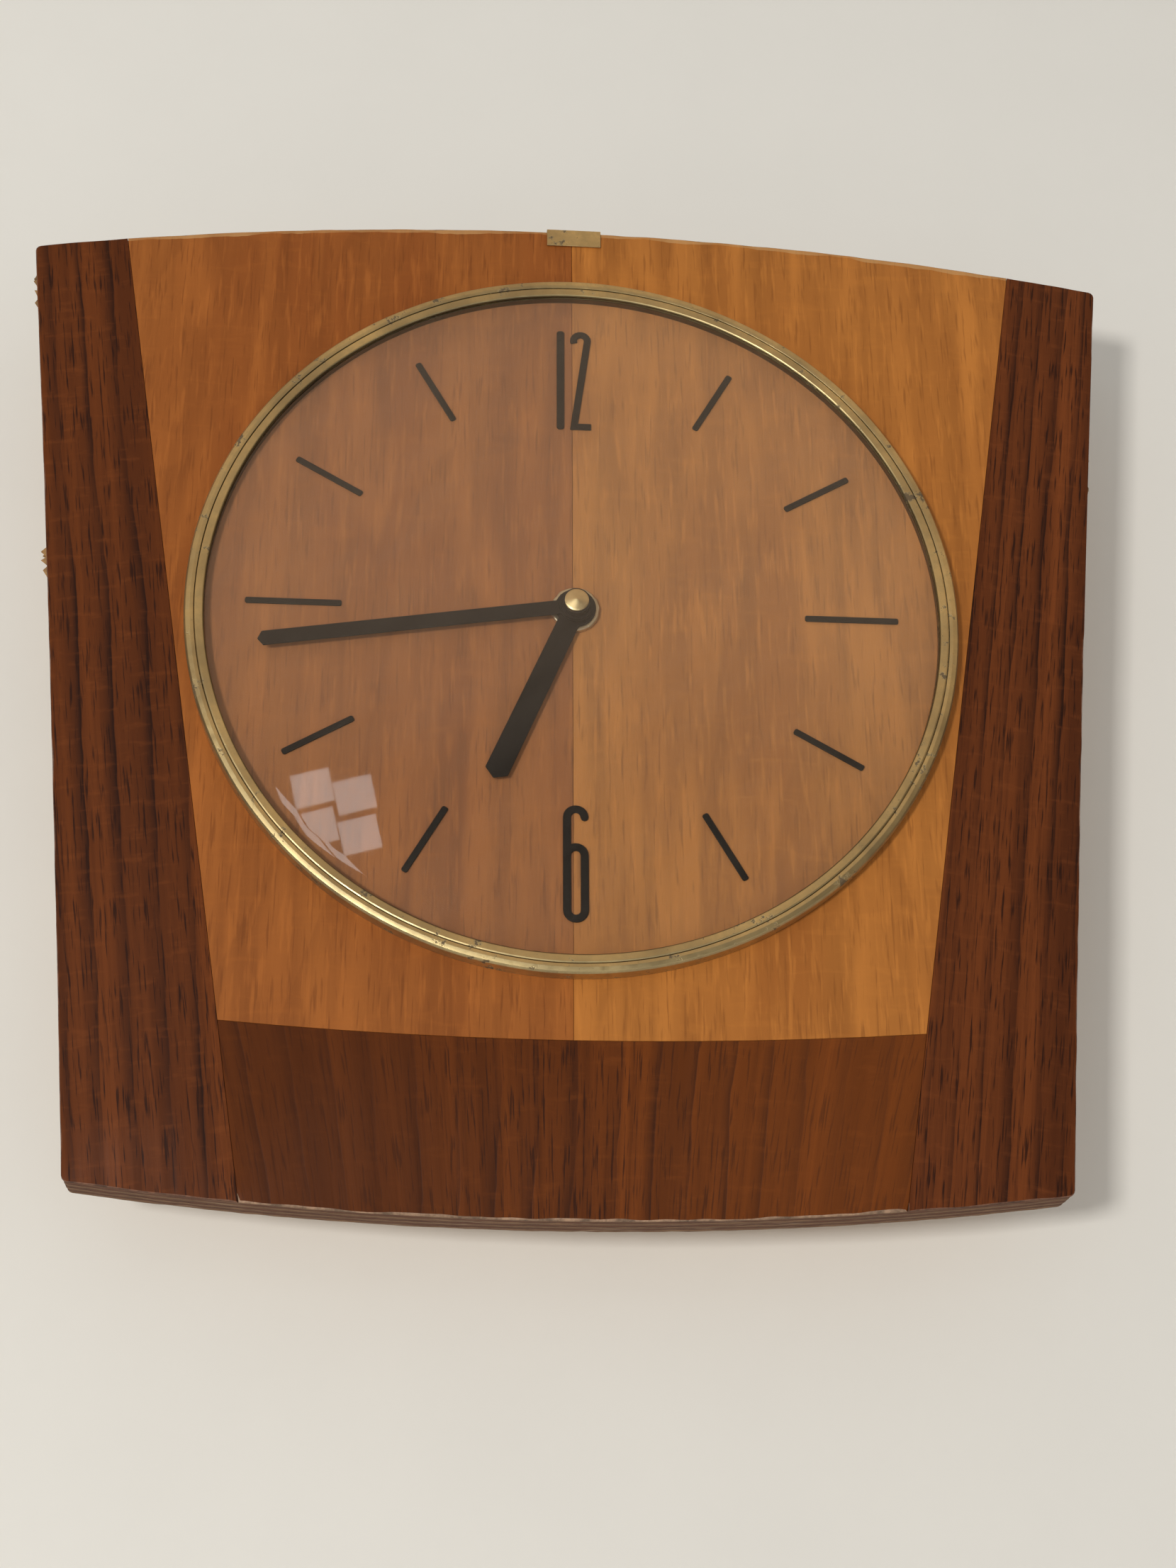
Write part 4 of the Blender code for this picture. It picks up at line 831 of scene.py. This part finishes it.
def make_bezel():
    """Two pressed rings with a fine, uneven gap between them."""
    keeper_outer = high_of("glass_keeper_ring").x - CENTRE.x
    inner = BEZEL_INNER
    foot, top = high_of("bezel_ring").y, BEZEL_FRONT_Y
    ledge = FACE_Y - 2.15 * MM
    split = keeper_outer + 0.24 * MM

    def dent(angle, radius, y):
        if y > foot - 0.3 * MM:
            return 0.0
        turned = Vector((math.cos(angle) * 7.0, math.sin(angle) * 7.0, radius * 300.0))
        return 0.07 * MM * noise.noise(turned)

    outer = [
        (inner + 0.1 * MM, foot),
        (inner + 0.1 * MM, ledge),
        (split, ledge),
        (split, top + 0.10 * MM),
        (split + 0.9 * MM, top - 0.02 * MM),
        (BEZEL_OUTER - 0.5 * MM, top + 0.22 * MM),
        (BEZEL_OUTER, top + 0.85 * MM),
        (BEZEL_OUTER, foot),
    ]
    outer = rounded_profile(outer, [0.0, 0.0, 0.0, 0.10 * MM, 0.5 * MM, 0.30 * MM, 0.35 * MM, 0.0])
    lathe("bezel_outer", outer, 288, BEZEL_BRASS, BODY, ["bezel_ring"], wobble=dent)
    under = high_of("glass_keeper_ring").y
    keeper = [
        (inner, under),
        (inner, top + 0.55 * MM),
        (inner + 0.45 * MM, top + 0.22 * MM),
        (keeper_outer - 0.35 * MM, top + 0.08 * MM),
        (keeper_outer, top + 0.22 * MM),
        (keeper_outer, under),
    ]
    keeper = rounded_profile(keeper, [0.0, 0.15 * MM, 0.25 * MM, 0.2 * MM, 0.08 * MM, 0.0])
    lathe("bezel_inner", keeper, 288, BEZEL_BRASS, BODY, ["glass_keeper_ring"], wobble=dent)


def make_glass():
    """A dome of even thickness, smooth, with a flat rim under the keeper."""
    rim_front = FACE_Y - 3.8 * MM
    rim = 96.0 * MM
    rise = rim_front - GLASS_FRONT_Y
    curve = (rim * rim + rise * rise) / (2 * rise)
    thick = 1.5 * MM
    rings = 26

    def front(radius, of):
        """The depth of a sphere of this curve at this radius from the axis."""
        return rim_front + (curve - rise) - math.sqrt(of * of - radius * radius)

    reach = [rim * k / rings for k in range(rings, -1, -1)]
    outer = [(r, front(r, curve)) for r in reach]
    shorter = [r * (1 - thick / curve) for r in reversed(reach)]
    inner = [(r, front(r, curve - thick)) for r in shorter]
    inner[0] = (0.0, inner[0][1])
    back = inner[-1][1]
    profile = outer + inner + [(GLASS_OUTER, back), (GLASS_OUTER, rim_front)]
    lathe("glass_pane", profile, 160, GLASS, BODY, ["glass_dome"], sharp=40.0)


def make_dial():
    for hour in (1, 2, 3, 4, 5, 7, 8, 9, 10, 11):
        softened(f"hour_mark_{hour:02d}", 0.14 * MM, BLACK, BODY)
    for numeral in ("numeral_1", "numeral_2", "numeral_6"):
        softened(numeral, 0.16 * MM, BLACK, BODY)

    nut = high_of("dial_nut").x - CENTRE.x
    front, back = low_of("dial_nut").y, high_of("dial_nut").y
    inner = 4.3 * MM

    def ragged(angle, radius, _):
        if radius < nut - 0.5 * MM:
            return 0.0
        way = Vector((math.cos(angle) * 4.0, math.sin(angle) * 4.0, 0.0))
        return -0.30 * MM * max(0.0, noise.noise(way) + 0.25)

    profile = [(inner, back), (nut, back), (nut, front), (inner, front)]
    profile = rounded_profile(profile, [0.0, 0.1 * MM, 0.35 * MM, 0.2 * MM])
    lathe("dial_nut_finish", profile, 96, NUT_BRASS, BODY, ["dial_nut"], wobble=ragged)


def make_hands():
    """The two hands and the cap on them, whose face is turned in faint rings."""
    softened("hour_hand", 0.14 * MM, BLACK, "hour_pipe")
    softened("minute_hand", 0.14 * MM, BLACK, "minute_arbor")
    cap = high_of("hand_cap").x - CENTRE.x
    front, back = low_of("hand_cap").y, high_of("hand_cap").y
    socket = 0.87 * MM
    rings = 5
    profile = [(0.0, front)]
    for k in range(1, rings + 1):
        r = cap * 0.9 * k / rings
        y = front + 0.42 * MM * (k / rings)
        profile += [(r - 0.05 * MM, y - 0.012 * MM), (r, y + 0.012 * MM)]
    profile += [(cap, front + 0.62 * MM), (cap, back)]
    profile += [(socket, back), (socket, front + 0.6 * MM), (0.0, front + 0.6 * MM)]
    lathe("hand_cap_finish", profile, 96, CAP_BRASS, "minute_arbor", ["hand_cap"], sharp=25.0)


# ---- Clip, hanger and case ----

def make_clip():
    softened("top_clip", 0.16 * MM, BEZEL_BRASS, BODY)


def make_hanger():
    """The strap with rounded bends, and its two screws."""
    work = solid_of("hanger_strap")
    low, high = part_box("hanger_strap")
    bends = []
    for edge in corners(work):
        first, second = (v.co for v in edge.verts)
        if abs(first.x - second.x) > 20 * MM and low[2] + 1 * MM < first.z < high[2] - 1 * MM:
            bends.append(edge)
    bevelled(work, bends, 1.1 * MM, 5)
    bevelled(work, corners(work, 60.0), 0.18 * MM, 1, profile=0.0)
    evenly_shaded(finished("hanger_strap_finish", work, ZINC, BODY, ["hanger_strap"], sharp=50.0))
    make_hanger_screws()


def prism(work, outline, low_y, high_y):
    """A closed solid with this (x, z) outline between two depths."""
    front = [work.verts.new((x, low_y, z)) for x, z in outline]
    back = [work.verts.new((x, high_y, z)) for x, z in outline]
    work.faces.new(front)
    work.faces.new(back[::-1])
    for i in range(len(outline)):
        work.faces.new((front[i], front[i - 1], back[i - 1], back[i]))


def ring_point(centre, radius, degrees):
    """A point at this angle from straight up, clockwise as seen from the front."""
    a = math.radians(degrees)
    return (centre[0] + radius * math.sin(a), centre[1] + radius * math.cos(a))


def slotted_head(work, centre, radius, low_y, high_y, turn):
    """A round screw head whose slot faces the wall: a disc under two half discs."""
    slot_y = low_y + (high_y - low_y) * 0.45
    prism(work, [ring_point(centre, radius, k * 15.0) for k in range(24)], low_y, slot_y)
    lip = math.degrees(math.asin(0.16))
    for side in (turn, turn + 180.0):
        angles = [side + lip + (180.0 - 2 * lip) * k / 12 for k in range(13)]
        half = [ring_point(centre, radius, angle) for angle in angles]
        smaller = [ring_point(centre, radius * 0.97, angle) for angle in angles]
        prism(work, half, slot_y + 0.01 * MM, high_y - 0.12 * MM)
        prism(work, smaller, high_y - 0.11 * MM, high_y)


def make_cover_details():
    """Screws, a scale for the regulator and an arrow for the knob, all on the cover's outer face."""
    low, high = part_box("rear_cover")
    face = high[1] + 0.01 * MM
    inset = 3.9 * MM
    places = [(x, z) for x in (low[0] + inset, high[0] - inset) for z in (low[2] + inset, high[2] - inset)]
    work = bmesh.new()
    for n, place in enumerate(places):
        slotted_head(work, place, 2.3 * MM, face, face + 0.9 * MM, 25.0 + 47.0 * n)
    finished("cover_screws", work, STEEL, BODY, sharp=30.0)

    work = bmesh.new()

    def raised(centre, *outline):
        """A mark in relief, from millimetres and degrees round a centre."""
        prism(work, [ring_point((centre.x, centre.z), r * MM, a) for r, a in outline], face, face + 0.22 * MM)

    staff = middle("balance_staff")
    for angle in (-18.0, -9.0, 0.0, 9.0, 18.0):
        inner = 10.4 if angle == 0.0 else 11.2
        left, right = angle - 0.9, angle + 0.9
        raised(staff, (inner, left), (12.4, left), (12.4, right), (inner, right))
    knob = middle("setting_knob")
    sweep = range(40, 131, 6)
    raised(knob, *[(9.7, a) for a in sweep], *[(9.0, a) for a in reversed(sweep)])
    raised(knob, (10.9, 131.5), (9.35, 147.0), (7.8, 131.5))
    finished("cover_marks", work, BROWN, BODY, sharp=30.0)


def make_door_ribs():
    """Ribs that give a thumb some grip near the door's free edge."""
    low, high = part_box("battery_door")
    work = bmesh.new()
    mid = (low[0] + high[0]) / 2
    left, right = mid - 9.0 * MM, mid + 9.0 * MM
    for n in range(5):
        top = high[2] - (2.2 + 1.5 * n) * MM
        foot = top - 0.7 * MM
        outline = [(left, foot), (right, foot), (right, top), (left, top)]
        prism(work, outline, high[1] + 0.01 * MM, high[1] + 0.38 * MM)
    finished("door_ribs", work, BROWN, "door", sharp=30.0)


def make_battery():
    """A dry cell on its side: a jacket with a rolled rim at each end, a steel base and a nub."""
    low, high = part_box("battery")
    radius = (high[2] - low[2]) / 2
    long = high[0] - low[0]
    can = long - 2.0 * MM
    jacket = [(radius - 0.7 * MM, 0.0), (radius, 0.0), (radius, can), (radius - 0.7 * MM, can)]
    rims = [0.15 * MM, 0.5 * MM, 0.5 * MM, 0.15 * MM]
    ends = [
        (0.0, 0.5 * MM),
        (radius - 0.9 * MM, 0.5 * MM),
        (radius - 0.9 * MM, can - 0.6 * MM),
        (4.4 * MM, can - 0.6 * MM),
        (3.9 * MM, long),
        (0.0, long),
    ]
    soft = [0.0, 0.3 * MM, 0.8 * MM, 0.5 * MM, 0.5 * MM, 0.0]
    pieces = (
        ("battery_jacket", rounded_profile(jacket, rims), JACKET, "battery_wrap", ["battery"]),
        ("battery_ends", rounded_profile(ends, soft), STEEL, "steel", []),
    )
    place = Matrix.Translation((low[0], (low[1] + high[1]) / 2, (low[2] + high[2]) / 2))
    lying = place @ Matrix.Rotation(-math.pi / 2, 4, "Z")
    for name, profile, material, slot, nodes in pieces:
        work = turned(profile, 72, ORIGIN)
        work.transform(lying)
        finished(name, work, material, BODY, nodes, sharp=30.0)


def make_hanger_screws():
    for n, side in enumerate(("left", "right")):
        node = f"hanger_screw_{side}"
        low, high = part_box(node)
        at = middle(node)
        radius = (high[0] - low[0]) / 2
        under = high[1] - 1.6 * MM
        work = bmesh.new()
        slotted_head(work, (at.x, at.z), radius, under, high[1], 35.0 + 80.0 * n)
        shaft = [ring_point((at.x, at.z), 1.4 * MM, k * 30.0) for k in range(12)]
        prism(work, shaft, low[1] + 2.0 * MM, under - 0.01 * MM)
        finished(node + "_finish", work, STEEL, BODY, [node], sharp=30.0)


def make_case():
    softened("movement_case", 0.7 * MM, IVORY, BODY, 3)
    softened("rear_cover", 0.35 * MM, BROWN, BODY)
    softened("battery_door", 0.35 * MM, BROWN, "door")
    softened("setting_knob", 0.18 * MM, BROWN, "setting_body", 1, 60.0)
    make_cover_details()
    make_door_ribs()
    make_battery()


def carry_over():
    """Finishes for the CAD nodes whose shapes stay."""
    looks = {
        BRASS: (
            "centre_bush", "cannon_pinion", "centre_wheel", "hour_wheel", "minute_wheel", "third_wheel",
            "balance_disc_front", "balance_disc_rear", "front_plate", "back_plate",
            "pillar_1", "pillar_2", "pillar_3",
        ),
        STEEL: (
            "drive_lever", "balance_staff", "magnet_front", "magnet_rear", "hairspring", "transistor",
            "regulator_lever", "contact_plate", "contact_spring",
        ),
        WHITE: ("index_wheel",),
        COPPER: ("drive_coil",),
        BOARD: ("circuit_board",),
    }
    for material, nodes in looks.items():
        for node in nodes:
            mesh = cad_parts[node].data
            mesh.materials.clear()
            mesh.materials.append(material)


# ---- Stage, light and camera ----

FLOOR_Z = -1.3
ROOM = 3.0            # half the width of the wall and of the floor
LENS = 53.63
SENSOR = 36.0
CAMERA_FROM_DIAL = Vector((-42.8, -544.9, -285.1)) * MM
CAMERA_TURN = (113.346, 0.286, -4.705)


def sheet(name, corner, along, up, material):
    """A flat backdrop."""
    corner, along, up = Vector(corner), Vector(along), Vector(up)
    mesh = bpy.data.meshes.new(name)
    mesh.from_pydata([corner, corner + along, corner + along + up, corner + up], [], [(0, 1, 2, 3)])
    mesh.materials.append(material)
    made = bpy.data.objects.new(name, mesh)
    bpy.context.collection.objects.link(made)


def make_stage():
    """A pale wall in the plane that the clock hangs on, open from behind, and a pale floor."""
    wall = plaster("wall_paint", (0.80, 0.78, 0.725), seen_from_front=True)
    wall_y = high_of("movement_case").y + 0.3 * MM
    sheet("wall", (-ROOM, wall_y, FLOOR_Z), (2 * ROOM, 0, 0), (0, 0, 2.4 * ROOM), wall)
    floor = plaster("floor_paint", (0.74, 0.73, 0.71))
    sheet("floor", (-ROOM, -ROOM, FLOOR_Z), (2 * ROOM, 0, 0), (0, 2 * ROOM, 0), floor)


def area_light(name, towards, distance, width, height, power, colour, tilt=0.0):
    """A soft box in this direction from the dial, facing the dial, tilted by so many degrees."""
    data = bpy.data.lights.new(name, "AREA")
    data.shape = "RECTANGLE"
    data.size = width
    data.size_y = height
    data.energy = power
    data.color = colour
    made = bpy.data.objects.new(name, data)
    way = Vector(towards).normalized()
    made.location = CENTRE + way * distance
    made.rotation_euler = way.to_track_quat("Z", "Y").to_euler()
    made.rotation_euler.rotate_axis("Z", math.radians(tilt))
    bpy.context.collection.objects.link(made)


def make_light():
    """A small key light at the lower left, the four panes of a window, and two broad, weak lights."""
    area_light("key", (-0.40, -0.86, -0.24), 1.7, 0.20, 0.20, 13.5, (1.0, 0.975, 0.94))
    for name, x, z in (("a", -0.34, 0.150), ("b", -0.27, 0.135), ("c", -0.33, 0.085), ("d", -0.26, 0.070)):
        area_light("pane_" + name, (x, -0.95, z), 1.9, 0.115, 0.105, 0.09, (0.94, 0.98, 1.0), tilt=13.0)
    area_light("fill", (0.3, -0.75, -0.7), 2.4, 1.6, 1.6, 4.0, (1.0, 0.95, 0.88))
    area_light("behind", (0.6, 1.0, 0.5), 2.2, 1.2, 1.2, 9.0, (1.0, 0.98, 0.96))


def make_room():
    """Even pale light that is stronger from below, and warm, dim walls for shiny things to mirror."""
    world = bpy.data.worlds.new("room")
    world.use_nodes = True
    bpy.context.scene.world = world
    tree = world.node_tree

    def joined(kind, **settings):
        made = tree.nodes.new("ShaderNode" + kind)
        for key, value in settings.items():
            setattr(made, key, value)
        return made

    def level(low, high, at_low, at_high):
        made = joined("MapRange", interpolation_type="SMOOTHSTEP")
        for key, value in zip(("From Min", "From Max", "To Min", "To Max"), (low, high, at_low, at_high)):
            made.inputs[key].default_value = value
        tree.links.new(height.outputs["Z"], made.inputs["Value"])
        return made.outputs[0]

    place = joined("TexCoord")
    height = joined("SeparateXYZ")
    tree.links.new(place.outputs["Generated"], height.inputs[0])
    pale = tree.nodes["Background"]
    pale.inputs["Color"].default_value = (1.0, 0.985, 0.965, 1.0)
    tree.links.new(level(-0.5, 0.5, 0.70, 0.46), pale.inputs["Strength"])
    warm = joined("Background")
    warm.inputs["Color"].default_value = (1.0, 0.72, 0.48, 1.0)
    tree.links.new(level(0.12, 0.48, 0.10, 0.60), warm.inputs["Strength"])
    path = joined("LightPath")
    choose = joined("MixShader")
    tree.links.new(path.outputs["Is Glossy Ray"], choose.inputs[0])
    tree.links.new(pale.outputs[0], choose.inputs[1])
    tree.links.new(warm.outputs[0], choose.inputs[2])
    tree.links.new(choose.outputs[0], tree.nodes["World Output"].inputs["Surface"])


def make_camera():
    """Below the clock and a little to its left, looking up at it."""
    data = bpy.data.cameras.new("camera")
    data.lens = LENS
    data.sensor_width = SENSOR
    made = bpy.data.objects.new("camera", data)
    made.location = Vector((CENTRE.x, FACE_Y, CENTRE.z)) + CAMERA_FROM_DIAL
    made.rotation_euler = [math.radians(angle) for angle in CAMERA_TURN]
    bpy.context.collection.objects.link(made)
    bpy.context.scene.camera = made


make_camera()
make_light()
make_room()
make_stage()
make_panel()
make_bezel()
make_glass()
make_dial()
make_hands()
make_clip()
make_hanger()
make_case()
carry_over()
bpy.context.scene.view_settings.view_transform = "Standard"
